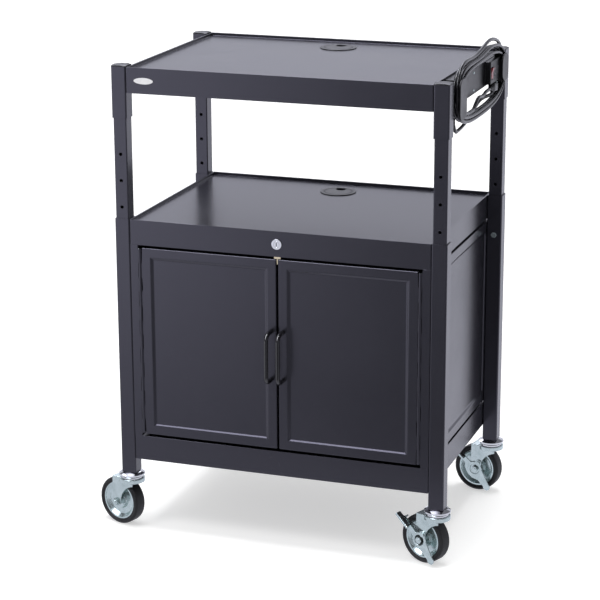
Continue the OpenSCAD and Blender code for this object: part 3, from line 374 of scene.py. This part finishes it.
def metalMaterial(name, look):
    # plated or polished metal with drawn lines and a faint spangle
    material, tree, shader = newMaterial(name)
    brush = placeGroup(tree, brushGroup, {"Stretch": look["stretch"], "Spangle": look["spangle"]})
    tone = brush.outputs["Tone"]
    colour = mix(tree, "RGBA", tone, (*look["dark"], 1), (*look["light"], 1))
    tree.links.new(colour, shader.inputs["Base Color"])
    tree.links.new(ramp(tree, tone, grains["toneSpan"], look["rough"]), shader.inputs["Roughness"])
    shader.inputs["Metallic"].default_value = look["metal"]
    addBump(tree, shader, brush.outputs["Height"], look["bump"], grains["metalBump"])
    return material


skinLook = {"speckle": 0.2, "grain": 1500, "cloud": 60, "bump": 0.00003,
            "scuff": 0.1, "scuffScale": 90, "scuffReach": 0.3,
            "ior": 1.5, "specular": 0.5, "tint": (1, 1, 1), "coat": 0, "coatRough": 0.1}
powderLook = {**skinLook, "dark": (0.015, 0.015, 0.020), "light": (0.021, 0.021, 0.027),
              "worn": (0.05, 0.05, 0.055), "rough": (0.20, 0.26), "grain": 700, "speckle": 0.3, "cloud": 5,
              "bump": 0.000018, "scuff": 0.3, "scuffScale": 40, "scuffReach": 0.6,
              "specular": 0.62, "tint": (0.86, 0.84, 1.0)}
plasticLook = {**skinLook, "dark": (0.007, 0.007, 0.008), "light": (0.012, 0.012, 0.014),
               "worn": (0.04, 0.04, 0.045), "rough": (0.28, 0.38), "speckle": 0.6, "cloud": 20,
               "bump": 0.00004, "scuff": 0.2, "specular": 0.45, "ior": 1.34}
glossLook = {**skinLook, "dark": (0.005, 0.005, 0.006), "light": (0.009, 0.009, 0.011),
             "worn": (0.03, 0.03, 0.033), "rough": (0.14, 0.20), "grain": 500, "speckle": 0.1, "cloud": 14,
             "bump": 0.00002, "scuff": 0.2, "coat": 0.4, "coatRough": 0.08}
tyreLook = {**skinLook, "dark": (0.008, 0.008, 0.009), "light": (0.016, 0.016, 0.017),
            "worn": (0.06, 0.058, 0.055), "rough": (0.46, 0.62), "grain": 1100, "speckle": 0.8, "cloud": 40,
            "bump": 0.00010, "scuff": 0.7, "scuffScale": 140, "scuffReach": 0.15, "specular": 0.35}
cordLook = {**skinLook, "dark": (0.005, 0.005, 0.006), "light": (0.010, 0.010, 0.012),
            "worn": (0.03, 0.03, 0.033), "rough": (0.17, 0.24), "grain": 1300, "speckle": 0.3,
            "scuff": 0.15, "scuffScale": 160, "ior": 1.38}
redLook = {**skinLook, "dark": (0.21, 0.012, 0.018), "light": (0.30, 0.020, 0.026), "worn": (0.4, 0.1, 0.1),
           "rough": (0.18, 0.28)}
plateLook = {**skinLook, "dark": (0.74, 0.74, 0.76), "light": (0.84, 0.84, 0.86), "worn": (0.6, 0.6, 0.62),
             "rough": (0.22, 0.32)}
socketLook = {**skinLook, "dark": (0.02, 0.02, 0.023), "light": (0.032, 0.032, 0.036),
              "worn": (0.06, 0.06, 0.065), "rough": (0.34, 0.44), "speckle": 0.4, "bump": 0.00004}
zincLook = {"dark": (0.38, 0.47, 0.47), "light": (0.68, 0.77, 0.765), "rough": (0.18, 0.26),
            "stretch": (220, 220, 60), "spangle": 60, "bump": 0.000004, "metal": 0.85}
chromeLook = {"dark": (0.62, 0.63, 0.65), "light": (0.74, 0.75, 0.76), "rough": (0.07, 0.14),
              "stretch": (300, 300, 300), "spangle": 40, "bump": 0.000002, "metal": 1}
brassLook = {"dark": (0.66, 0.55, 0.36), "light": (0.82, 0.73, 0.52), "rough": (0.22, 0.36),
             "stretch": (60, 500, 500), "spangle": 200, "bump": 0.00003, "metal": 1}

finishes = {
    "powder_coat": skinMaterial("satinPowderCoat", powderLook),
    "black_plastic": skinMaterial("mouldedBlackPlastic", plasticLook),
    "gloss_black": skinMaterial("glossBlackBar", glossLook),
    "tyre_rubber": skinMaterial("blackTyreRubber", tyreLook),
    "cord_rubber": skinMaterial("cordJacket", cordLook),
    "red_plastic": skinMaterial("redRocker", redLook),
    "white_plate": skinMaterial("blankPlate", plateLook),
    "zinc": metalMaterial("brightZincPlate", zincLook),
    "chrome": metalMaterial("polishedChrome", chromeLook),
    "brass": metalMaterial("wornBrass", brassLook),
}
socketFinish = skinMaterial("socketFace", socketLook)
print("stage: finishes mixed,", len(finishes))


# Pieces that keep a solid's form, with their folded and moulded edges rounded

edges = {
    "hard": 27,  # degrees between faces, from which an edge is rounded
    "share": 0.42,  # of the narrowest face beside an edge that its rounding may take
    "merge": 0.003,  # mm between corners that are one
    "least": 0.01,  # mm of length that an edge is taken to have
    "flat": 0.3,  # degrees between faces that are one
    "normalWeight": 60,
    "standOut": 0.1,  # mm beyond the solid's box that are worth a warning
    "sheet": {"width": 1.7, "segments": 4, "shortest": 4},
    "thick": {"width": 1.2, "segments": 3, "shortest": 0.9},
    "fine": {"width": 0.35, "segments": 2, "shortest": 0},
}
corners = ("fl", "fr", "rl", "rr")
edgeOf = {
    "thick": ["power_housing", "cord_cleats", "post_caps", "top_grommet", "middle_grommet", "top_grommet_lid",
              "middle_grommet_lid", *["fork_" + corner for corner in corners], "brake_fr", "brake_rr"],
    "turned": ["caster_stems", *[part + corner for part in ("tyre_", "wheel_") for corner in corners]],
    "fine": ["lock_core", "lock_cam", "lock_housing", "hinge_pins", "badge", "power_sockets", "door_stop",
             "rocker_switch", "height_bolts", "cord_gland", *["axle_" + corner for corner in corners]],
}
edgeKind = {node: kind for kind, members in edgeOf.items() for node in members}


def meshOf(name, work):
    mesh = bpy.data.meshes.new(name)
    work.to_mesh(mesh)
    work.free()
    return mesh


def joinedWork(node):
    # a solid's mesh with its doubled corners joined
    work = bmesh.new()
    work.from_mesh(nodes[node].data)
    bmesh.ops.remove_doubles(work, verts=work.verts, dist=edges["merge"] * mm)
    return work


def foldedCopy(node):
    # sheet and moulded work, ready for rounding
    work = joinedWork(node)
    bmesh.ops.dissolve_limit(work, angle_limit=math.radians(edges["flat"]), verts=work.verts, edges=work.edges)
    for face in work.faces:
        face.smooth = True
    return meshOf(node + "Form", work)


def turnedCopy(node):
    # lathe work, whose chamfers and fillets are in the solid already
    work = joinedWork(node)
    for face in work.faces:
        face.smooth = True
    for edge in work.edges:
        edge.smooth = edge.calc_face_angle(0) < math.radians(edges["hard"])
    return meshOf(node + "Form", work)


def roomAt(face, edge):
    # how far a face reaches from one of its edges
    if len(face.edges) == 4:
        return face.calc_area() / max(edge.calc_length(), edges["least"] * mm)
    return 2 * face.calc_area() / face.calc_perimeter()


def roundEdges(piece, kind):
    # rounds each hard edge by no more than the faces beside it have room for
    width = edges[kind]["width"] * mm
    work = bmesh.new()
    work.from_mesh(piece.data)
    weight = work.edges.layers.float.new("bevel_weight_edge")
    for edge in work.edges:
        if len(edge.link_faces) == 2 and edge.calc_face_angle(0) > math.radians(edges["hard"]):
            room = min(roomAt(face, edge) for face in edge.link_faces)
            if edge.calc_length() > edges[kind]["shortest"] * mm:
                edge[weight] = min(1, edges["share"] * room / width)
            else:
                edge.smooth = False
    work.to_mesh(piece.data)
    work.free()
    rounding = piece.modifiers.new("roundedEdges", "BEVEL")
    rounding.width = width
    rounding.segments = edges[kind]["segments"]
    rounding.limit_method = "WEIGHT"
    rounding.use_clamp_overlap = False
    facing = piece.modifiers.new("flatFaces", "WEIGHTED_NORMAL")
    facing.mode = "FACE_AREA"
    facing.weight = edges["normalWeight"]
    facing.keep_sharp = True


def bakeModifiers(piece):
    # turns a piece with modifiers into a plain mesh
    bpy.context.view_layer.update()
    seen = piece.evaluated_get(bpy.context.evaluated_depsgraph_get())
    mesh = bpy.data.meshes.new_from_object(seen)
    piece.modifiers.clear()
    piece.data = mesh


def finishPiece(piece, material, body, slotName, *replaced):
    piece.data.materials.clear()
    piece.data.materials.append(material)
    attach(piece, body)
    if replaced:
        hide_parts(*replaced)


def newPiece(name, mesh):
    piece = bpy.data.objects.new(name, mesh)
    bpy.context.scene.collection.objects.link(piece)
    return piece


def camelName(node):
    words = node.split("_")
    return words[0] + "".join(word.capitalize() for word in words[1:])


def checkBox(piece, node):
    # a rounding that ran wild would stand out of the solid's box
    low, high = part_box(node)
    grown = max(max(low[i] - vertex.co[i], vertex.co[i] - high[i])
                for vertex in piece.data.vertices for i in range(3))
    if grown > edges["standOut"] * mm:
        print("warning: rounding stands out of", node, "by", round(grown / mm, 2), "mm")


def dressSolid(node):
    kind = edgeKind.get(node, "sheet")
    if kind == "turned":
        piece = newPiece(camelName(node) + "Dressed", turnedCopy(node))
    else:
        piece = newPiece(camelName(node) + "Dressed", foldedCopy(node))
        roundEdges(piece, kind)
        bakeModifiers(piece)
        checkBox(piece, node)
    material = socketFinish if node == "power_sockets" else finishes[slotOf[node]]
    finishPiece(piece, material, bodyOf[node], slotOf[node], node)


madeElsewhere = ("cord_winding", "cord_lead", "plug")
for node in sorted(nodes):
    if node not in madeElsewhere:
        dressSolid(node)
print("stage: solids dressed")


# Plug: a moulded body with a grip waist and a ribbed neck, and its blades

plug = {
    "rings": 24, "sides": 32,
    "neckLength": 9, "neckStart": 1.1,  # in cord diameters
    "neckEnd": 0.62,  # of the grip's half width
    "ripple": 0.35, "ripples": 5,
    "neckPower": 2.1, "gripPower": 4.0, "swellRate": 2.2,
    "gripIn": 1.6, "waist": (0.5, 0.3),
    "bladeShare": 1 / 3, "bladeSize": (6.4, 1.6), "bladeApart": 12.7,
}


def superRing(halfX, halfZ, power, sides):
    # points of a rounded rectangle round Y
    ring = []
    for k in range(sides):
        a = 2 * math.pi * k / sides
        ring.append((halfX * signedPower(math.cos(a), 2 / power), halfZ * signedPower(math.sin(a), 2 / power)))
    return ring


def loft(name, sections):
    # a closed skin through rings of the same count, given as (y, ring)
    work = bmesh.new()
    rows = []
    for y, ring in sections:
        rows.append([work.verts.new((x, y, z)) for x, z in ring])
    count = len(rows[0])
    for a, b in zip(rows, rows[1:]):
        for k in range(count):
            work.faces.new((a[k], a[(k + 1) % count], b[(k + 1) % count], b[k]))
    work.faces.new(list(reversed(rows[0])))
    work.faces.new(rows[-1])
    bmesh.ops.recalc_face_normals(work, faces=work.faces)
    for face in work.faces:
        face.smooth = len(face.verts) == 4
    return meshOf(name, work)


def plugHalf(half, waist, along, length):
    # half the plug's width or height at a distance from its cord end
    neck = plug["neckLength"] * mm
    if along < neck:  # ribbed, and widening towards the grip
        share = along / neck
        thin = cord["diameter"] / 2 * mm * plug["neckStart"]
        wave = plug["ripple"] * mm * math.sin(share * math.pi * plug["ripples"])
        return thin + (half * plug["neckEnd"] - thin) * share ** 2 + wave
    share = (along - neck) / (length - neck)
    full = plug["neckEnd"] + (1 - plug["neckEnd"]) * plugSwell(along, length)
    return half * full - plug["gripIn"] * mm * math.sin(share * math.pi) * waist


def plugSwell(along, length):
    # 0 on the neck, 1 on the grip
    neck = plug["neckLength"] * mm
    share = max(0, (along - neck) / (length - neck))
    return math.sin(min(1, share * plug["swellRate"]) * math.pi / 2)


def makePlug():
    low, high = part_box("plug")
    length = (high[1] - low[1]) * (1 - plug["bladeShare"])
    middle = (Vector(low) + Vector(high)) / 2
    halves = [(high[i] - low[i]) / 2 for i in (0, 2)]
    sections = []
    for k in range(plug["rings"] + 1):
        along = length * k / plug["rings"]
        width, tall = (plugHalf(half, waist, along, length) for half, waist in zip(halves, plug["waist"]))
        power = plug["neckPower"] + (plug["gripPower"] - plug["neckPower"]) * plugSwell(along, length)
        ring = superRing(width, tall, power, plug["sides"])
        sections.append((low[1] + along, [(middle[0] + x, middle[2] + z) for x, z in ring]))
    body = newPiece("plugBody", loft("plugBody", sections))
    finishPiece(body, finishes["cord_rubber"], "upper", "cord_rubber", "plug")
    wide, thick = plug["bladeSize"]
    size = Vector((wide * mm, high[1] - low[1] - length, thick * mm))
    work = bmesh.new()
    for side in (-1, 1):
        centre = Vector((middle[0], high[1] - size[1] / 2, middle[2] + side * plug["bladeApart"] / 2 * mm))
        bmesh.ops.create_cube(work, size=1, matrix=Matrix.Translation(centre) @ Matrix.Diagonal((*size, 1)))
    blades = newPiece("plugBlades", meshOf("plugBlades", work))
    roundEdges(blades, "fine")
    bakeModifiers(blades)
    finishPiece(blades, finishes["zinc"], "upper", "zinc")
    return [body, blades]


plugPieces = makePlug()
cordPiece.data.materials.append(finishes["cord_rubber"])
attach(cordPiece, "upper")
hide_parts("cord_winding", "cord_lead")


# Geometry Nodes: a small form repeated on points that carry their own facing


def repeatTree(name, inputs, build):
    # a tree that takes points, instances what build makes on them, and returns plain mesh
    tree = bpy.data.node_groups.new(name, "GeometryNodeTree")
    tree.interface.new_socket(name="Geometry", in_out="INPUT", socket_type="NodeSocketGeometry")
    for label, kind, value in inputs:
        tree.interface.new_socket(name=label, in_out="INPUT", socket_type=kind).default_value = value
    tree.interface.new_socket(name="Material", in_out="INPUT", socket_type="NodeSocketMaterial")
    tree.interface.new_socket(name="Geometry", in_out="OUTPUT", socket_type="NodeSocketGeometry")
    given, result = tree.nodes.new("NodeGroupInput"), tree.nodes.new("NodeGroupOutput")
    shape = build(tree, given)
    facing = addNode(tree, "GeometryNodeInputNamedAttribute", {"Name": "turn"}, data_type="FLOAT_VECTOR")
    turn = addNode(tree, "FunctionNodeEulerToRotation", {}, {"Euler": facing.outputs[0]})
    placed = addNode(tree, "GeometryNodeInstanceOnPoints", {},
                     {"Points": given.outputs["Geometry"], "Instance": shape, "Rotation": turn.outputs[0]})
    real = addNode(tree, "GeometryNodeRealizeInstances", {}, {"Geometry": placed.outputs[0]})
    painted = addNode(tree, "GeometryNodeSetMaterial", {},
                      {"Geometry": real.outputs[0], "Material": given.outputs["Material"]})
    tree.links.new(painted.outputs[0], result.inputs[0])
    return tree


def ringShape(tree, given):
    # a thin rolled rim: a round profile swept round a circle
    rail = addNode(tree, "GeometryNodeCurvePrimitiveCircle", {"Resolution": 28},
                   {"Radius": given.outputs["Radius"]})
    profile = addNode(tree, "GeometryNodeCurvePrimitiveCircle", {"Resolution": 8},
                      {"Radius": given.outputs["Thickness"]})
    swept = addNode(tree, "GeometryNodeCurveToMesh", {}, {"Curve": rail.outputs[0],
                                                          "Profile Curve": profile.outputs[0]})
    return addNode(tree, "GeometryNodeSetShadeSmooth", {}, {"Geometry": swept.outputs[0]}).outputs[0]


def barShape(tree, given):
    # a low bar with its length along X
    size = addNode(tree, "ShaderNodeCombineXYZ", {}, {"X": given.outputs["Length"], "Y": given.outputs["Width"],
                                                      "Z": given.outputs["Height"]})
    return addNode(tree, "GeometryNodeMeshCube", {}, {"Size": size.outputs[0]}).outputs[0]


def domeShape(tree, given):
    # a low round head, sunk to its middle
    ball = addNode(tree, "GeometryNodeMeshUVSphere", {"Segments": 20, "Rings": 10},
                   {"Radius": given.outputs["Radius"]})
    squash = addNode(tree, "ShaderNodeCombineXYZ", {"X": 1, "Y": 1}, {"Z": given.outputs["Dome"]})
    low = addNode(tree, "GeometryNodeTransform", {}, {"Geometry": ball.outputs[0], "Scale": squash.outputs[0]})
    return addNode(tree, "GeometryNodeSetShadeSmooth", {}, {"Geometry": low.outputs[0]}).outputs[0]


ringTree = repeatTree("rolledRims", [("Radius", "NodeSocketFloat", 0.0036),
                                     ("Thickness", "NodeSocketFloat", 0.0003)], ringShape)
barTree = repeatTree("raisedBars", [("Length", "NodeSocketFloat", 0.01), ("Width", "NodeSocketFloat", 0.001),
                                    ("Height", "NodeSocketFloat", 0.001)], barShape)
domeTree = repeatTree("domedHeads", [("Radius", "NodeSocketFloat", 0.003),
                                     ("Dome", "NodeSocketFloat", 0.5)], domeShape)


def towards(place, direction):
    # a spot whose Z looks along a direction
    return Matrix.Translation(place) @ Vector(direction).to_track_quat("Z", "Y").to_matrix().to_4x4()


def repeatOnPoints(name, tree, values, spots, slotName, body):
    # spots are matrices in metres
    mesh = bpy.data.meshes.new(name)
    mesh.from_pydata([tuple(spot.translation) for spot in spots], [], [])
    turn = mesh.attributes.new("turn", "FLOAT_VECTOR", "POINT")
    for item, spot in zip(turn.data, spots):
        item.vector = spot.to_euler()
    piece = newPiece(name, mesh)
    modifier = piece.modifiers.new(name, "NODES")
    modifier.node_group = tree
    given = {item.name: item.identifier for item in tree.interface.items_tree if item.in_out == "INPUT"}
    for label, value in {**values, "Material": finishes[slotName]}.items():
        modifier[given[label]] = value
    bakeModifiers(piece)
    finishPiece(piece, finishes[slotName], body, slotName)


posts = {"holePitch": 54, "holes": 8, "topZ": 972, "holeIn": 176,
         "rimRadius": 3.7, "rimThick": 0.3, "rimSink": 0.18}


def makeHoleRims():
    spots = []
    for corner in corners:
        low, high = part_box("post_" + corner)
        x = (low[0] + high[0]) / 2
        sink = posts["rimSink"] * mm
        for k in range(posts["holes"]):
            z = (posts["topZ"] - posts["holeIn"] - k * posts["holePitch"]) * mm
            spots += [towards((x, low[1] + sink, z), (0, -1, 0)), towards((x, high[1] - sink, z), (0, 1, 0))]
    size = {"Radius": posts["rimRadius"] * mm, "Thickness": posts["rimThick"] * mm}
    repeatOnPoints("postHoleRims", ringTree, size, spots, "powder_coat", "upper")


screws = {"radius": 3, "dome": 0.45, "inset": 8, "frontIn": 40, "middleIn": 30}


def makeHousingScrews():
    low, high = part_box("power_housing")
    face = low[0] + cord["unitThick"] * mm
    spots = []
    for y in (low[1] + screws["frontIn"] * mm, (low[1] + high[1]) / 2 - screws["middleIn"] * mm):
        for z in (low[2] + screws["inset"] * mm, high[2] - screws["inset"] * mm):
            spots.append(towards((face, y, z), (1, 0, 0)))
    size = {"Radius": screws["radius"] * mm, "Dome": screws["dome"]}
    repeatOnPoints("housingScrews", domeTree, size, spots, "zinc", "upper")


casters = {
    "turn": {"fl": 18, "fr": 22, "rl": 14, "rr": 10},  # degrees at rest
    "side": {"fl": (-1, -1), "fr": (1, -1), "rl": (-1, 1), "rr": (1, 1)},
    "legX": 330.125, "legY": 215.875, "trail": 28, "wheelRadius": 51, "forkOut": 20,
}
pedal = {"tilt": 40, "width": 14, "length": 38, "top": 6, "ribs": 7, "ribWidth": 4.3, "ribHeight": 1.2,
         "ribShort": 3, "endSpace": 0.8, "spread": 0.6}
hubs = {"bolts": 5, "reach": 14.5, "radius": 2.2, "face": 9.5, "dome": 0.5}


def casterPlace(corner):
    # a caster's own frame: its swivel axis, with the wheel towards +X
    x, y = (side * reach for side, reach in zip(casters["side"][corner], (casters["legX"], casters["legY"])))
    shift = Matrix.Translation(Vector((x + origin["x"], y + origin["y"], 0)) * mm)
    return shift @ Matrix.Rotation(math.radians(180 - casters["turn"][corner]), 4, "Z")


def makePedalRibs(corner):
    foot = Vector((casters["trail"], casters["forkOut"] + seat, casters["wheelRadius"])) * mm
    tilted = Matrix.Rotation(math.radians(-pedal["tilt"]), 4, "Y")
    lever = casterPlace(corner) @ Matrix.Translation(foot) @ tilted
    across = Matrix.Rotation(math.radians(90), 4, "Z")
    spots = []
    for k in range(pedal["ribs"]):
        share = (k + pedal["endSpace"]) / (pedal["ribs"] + pedal["spread"]) - 0.5
        along = casters["wheelRadius"] + pedal["length"] * share
        middle = Vector((along, pedal["width"] / 2, pedal["top"])) * mm
        spots.append(lever @ Matrix.Translation(middle) @ across)
    size = {"Length": (pedal["width"] - pedal["ribShort"]) * mm, "Width": pedal["ribWidth"] * mm,
            "Height": pedal["ribHeight"] * mm}
    repeatOnPoints("pedalRibs" + corner.upper(), barTree, size, spots, "tyre_rubber", bodyOf["brake_" + corner])


def makeHubBolts(corner):
    axle = casterPlace(corner) @ Matrix.Translation(Vector((casters["trail"], 0, casters["wheelRadius"])) * mm)
    reach = hubs["reach"]
    spots = []
    for side in (-1, 1):
        for k in range(hubs["bolts"]):
            a = 2 * math.pi * k / hubs["bolts"]
            head = Vector((reach * math.cos(a), side * hubs["face"], reach * math.sin(a))) * mm
            spots.append(axle @ towards(head, (0, side, 0)))
    size = {"Radius": hubs["radius"] * mm, "Dome": hubs["dome"]}
    repeatOnPoints("hubRivets" + corner.upper(), domeTree, size, spots, "zinc", bodyOf["wheel_" + corner])


makeHoleRims()
makeHousingScrews()
for corner in corners:
    makeHubBolts(corner)
for corner in ("fr", "rr"):
    makePedalRibs(corner)
print("stage: repeated fittings placed")


# Floor, light and background

studio = {
    "floorHalf": 40, "floorGlow": 0.50, "floorShade": 0.75, "bounce": 0.7,
    "sunStrength": 1.7, "sunAngle": 20, "sunFrom": (0, 0.03, 1),
    "boxPower": 18, "boxSize": (1.2, 0.8), "boxPlace": (-0.7, -1.3, 2.4), "boxAim": (0, 0, 0.6),
    "worldLight": 0.52, "glossTint": (0.93, 0.94, 1.06),
}
# What polished faces mirror: the floor's painted reflection, by its place in metres, and the room, by direction
mirror = {
    "floorLean": 0.344, "floorSpan": (-0.5, 0.5), "floorSides": (1.75, 0.34),
    "nearSpan": (-2.2, -0.9), "nearShade": 0.6,
    "closeSpan": (-0.85, -0.5), "closeGlow": 0.85,
    "backSpan": (-0.3, 0.6), "backGlow": 1.1,
    "skyHeight": (0.34, 0.50), "skyGlow": (0.82, 0.2),
    "roomSpan": (-0.4, 0.3), "roomFront": 0.45,
    "bandSide": -0.31, "bandHalf": (0.14, 0.30), "bandLow": (0.40, 0.60), "bandGlow": 7,
}


def grey(level):
    return level, level, level, 1


def eyeRays(tree):
    # 1 for rays that the eye follows: seen directly, mirrored or seen through
    rays = tree.nodes.new("ShaderNodeLightPath")
    direct = math2(tree, "MAXIMUM", rays.outputs["Is Camera Ray"], rays.outputs["Is Glossy Ray"])
    return rays, math2(tree, "MAXIMUM", direct, rays.outputs["Is Transmission Ray"])


def makeFloor():
    mesh = bpy.data.meshes.new("studioFloor")
    h = studio["floorHalf"]
    mesh.from_pydata([(-h, -h, 0), (h, -h, 0), (h, h, 0), (-h, h, 0)], [], [(0, 1, 2, 3)])
    floor = newPiece("studioFloor", mesh)
    material = bpy.data.materials.new("paleFloor")
    material.use_nodes = True
    tree = material.node_tree
    tree.nodes.clear()
    out = tree.nodes.new("ShaderNodeOutputMaterial")
    rays, seen = eyeRays(tree)
    shade = addNode(tree, "ShaderNodeBsdfDiffuse", {"Color": grey(studio["floorShade"])})
    glow = addNode(tree, "ShaderNodeEmission", {"Color": grey(studio["floorGlow"])})
    white = addNode(tree, "ShaderNodeAddShader", {}, {0: shade.outputs[0], 1: glow.outputs[0]})
    plain = addNode(tree, "ShaderNodeBsdfDiffuse", {"Color": grey(studio["bounce"])})
    place = addNode(tree, "ShaderNodeTexCoord").outputs["Object"]
    axes = addNode(tree, "ShaderNodeSeparateXYZ", {}, {"Vector": place})
    x, y = axes.outputs["X"], axes.outputs["Y"]
    # Seen by glossy rays, the floor glows instead of being lit, a painted reflection on polished faces:
    # brighter to the left, darker towards the cart, then set to fixed levels close to it and behind it
    leaning = math2(tree, "SUBTRACT", x, math2(tree, "MULTIPLY", y, mirror["floorLean"]))
    side = ramp(tree, leaning, mirror["floorSpan"], mirror["floorSides"])
    near = ramp(tree, y, mirror["nearSpan"], (1, mirror["nearShade"]))
    graded = math2(tree, "MULTIPLY", side, near)
    front = mix(tree, "FLOAT", ramp(tree, y, mirror["closeSpan"]), graded, mirror["closeGlow"])
    level = mix(tree, "FLOAT", ramp(tree, y, mirror["backSpan"]), front, mirror["backGlow"])
    mirrored = addNode(tree, "ShaderNodeEmission", {"Color": (*studio["glossTint"], 1)}, {"Strength": level})
    straight = addNode(tree, "ShaderNodeMixShader", {},
                       {"Fac": rays.outputs["Is Glossy Ray"], 1: white.outputs[0], 2: mirrored.outputs[0]})
    whole = addNode(tree, "ShaderNodeMixShader", {}, {"Fac": seen, 1: plain.outputs[0], 2: straight.outputs[0]})
    tree.links.new(whole.outputs[0], out.inputs[0])
    mesh.materials.append(material)


def addLamp(name, data, place, direction):
    lamp = bpy.data.objects.new(name, data)
    lamp.location = place
    lamp.rotation_euler = direction.to_track_quat("Z", "Y").to_euler()
    bpy.context.scene.collection.objects.link(lamp)


def makeLights():
    sun = bpy.data.lights.new("softKey", "SUN")
    sun.energy = studio["sunStrength"]
    sun.angle = math.radians(studio["sunAngle"])
    addLamp("softKey", sun, (0, 0, 0), Vector(studio["sunFrom"]))
    box = bpy.data.lights.new("frontBox", "AREA")
    box.shape = "RECTANGLE"
    box.size, box.size_y = studio["boxSize"]
    box.energy = studio["boxPower"]
    addLamp("frontBox", box, studio["boxPlace"], Vector(studio["boxPlace"]) - Vector(studio["boxAim"]))


def makeWorld():
    world = bpy.data.worlds.new("studioWorld")
    bpy.context.scene.world = world
    world.use_nodes = True
    tree = world.node_tree
    sky = tree.nodes["Background"]
    rays, seen = eyeRays(tree)
    way = addNode(tree, "ShaderNodeSeparateXYZ", {}, {"Vector": addNode(tree, "ShaderNodeTexCoord").outputs[0]})
    x, y, z = way.outputs
    above = ramp(tree, z, mirror["skyHeight"], mirror["skyGlow"])
    behind = ramp(tree, y, mirror["roomSpan"], (mirror["roomFront"], 1))
    offBand = math2(tree, "ABSOLUTE", math2(tree, "SUBTRACT", x, mirror["bandSide"]), 0)
    band = ramp(tree, offBand, mirror["bandHalf"], (mirror["bandGlow"], 0))
    lifted = ramp(tree, z, mirror["bandLow"])
    mirrored = math2(tree, "ADD", math2(tree, "MULTIPLY", above, behind), math2(tree, "MULTIPLY", band, lifted))
    glossy = rays.outputs["Is Glossy Ray"]
    level = mix(tree, "FLOAT", glossy, mix(tree, "FLOAT", seen, studio["worldLight"], 1), mirrored)
    tint = mix(tree, "RGBA", glossy, grey(1), (*studio["glossTint"], 1))
    tree.links.new(tint, sky.inputs["Color"])
    tree.links.new(level, sky.inputs["Strength"])
    bpy.context.scene.view_settings.view_transform = "Standard"


makeFloor()
makeLights()
makeWorld()
print("stage: studio lit")
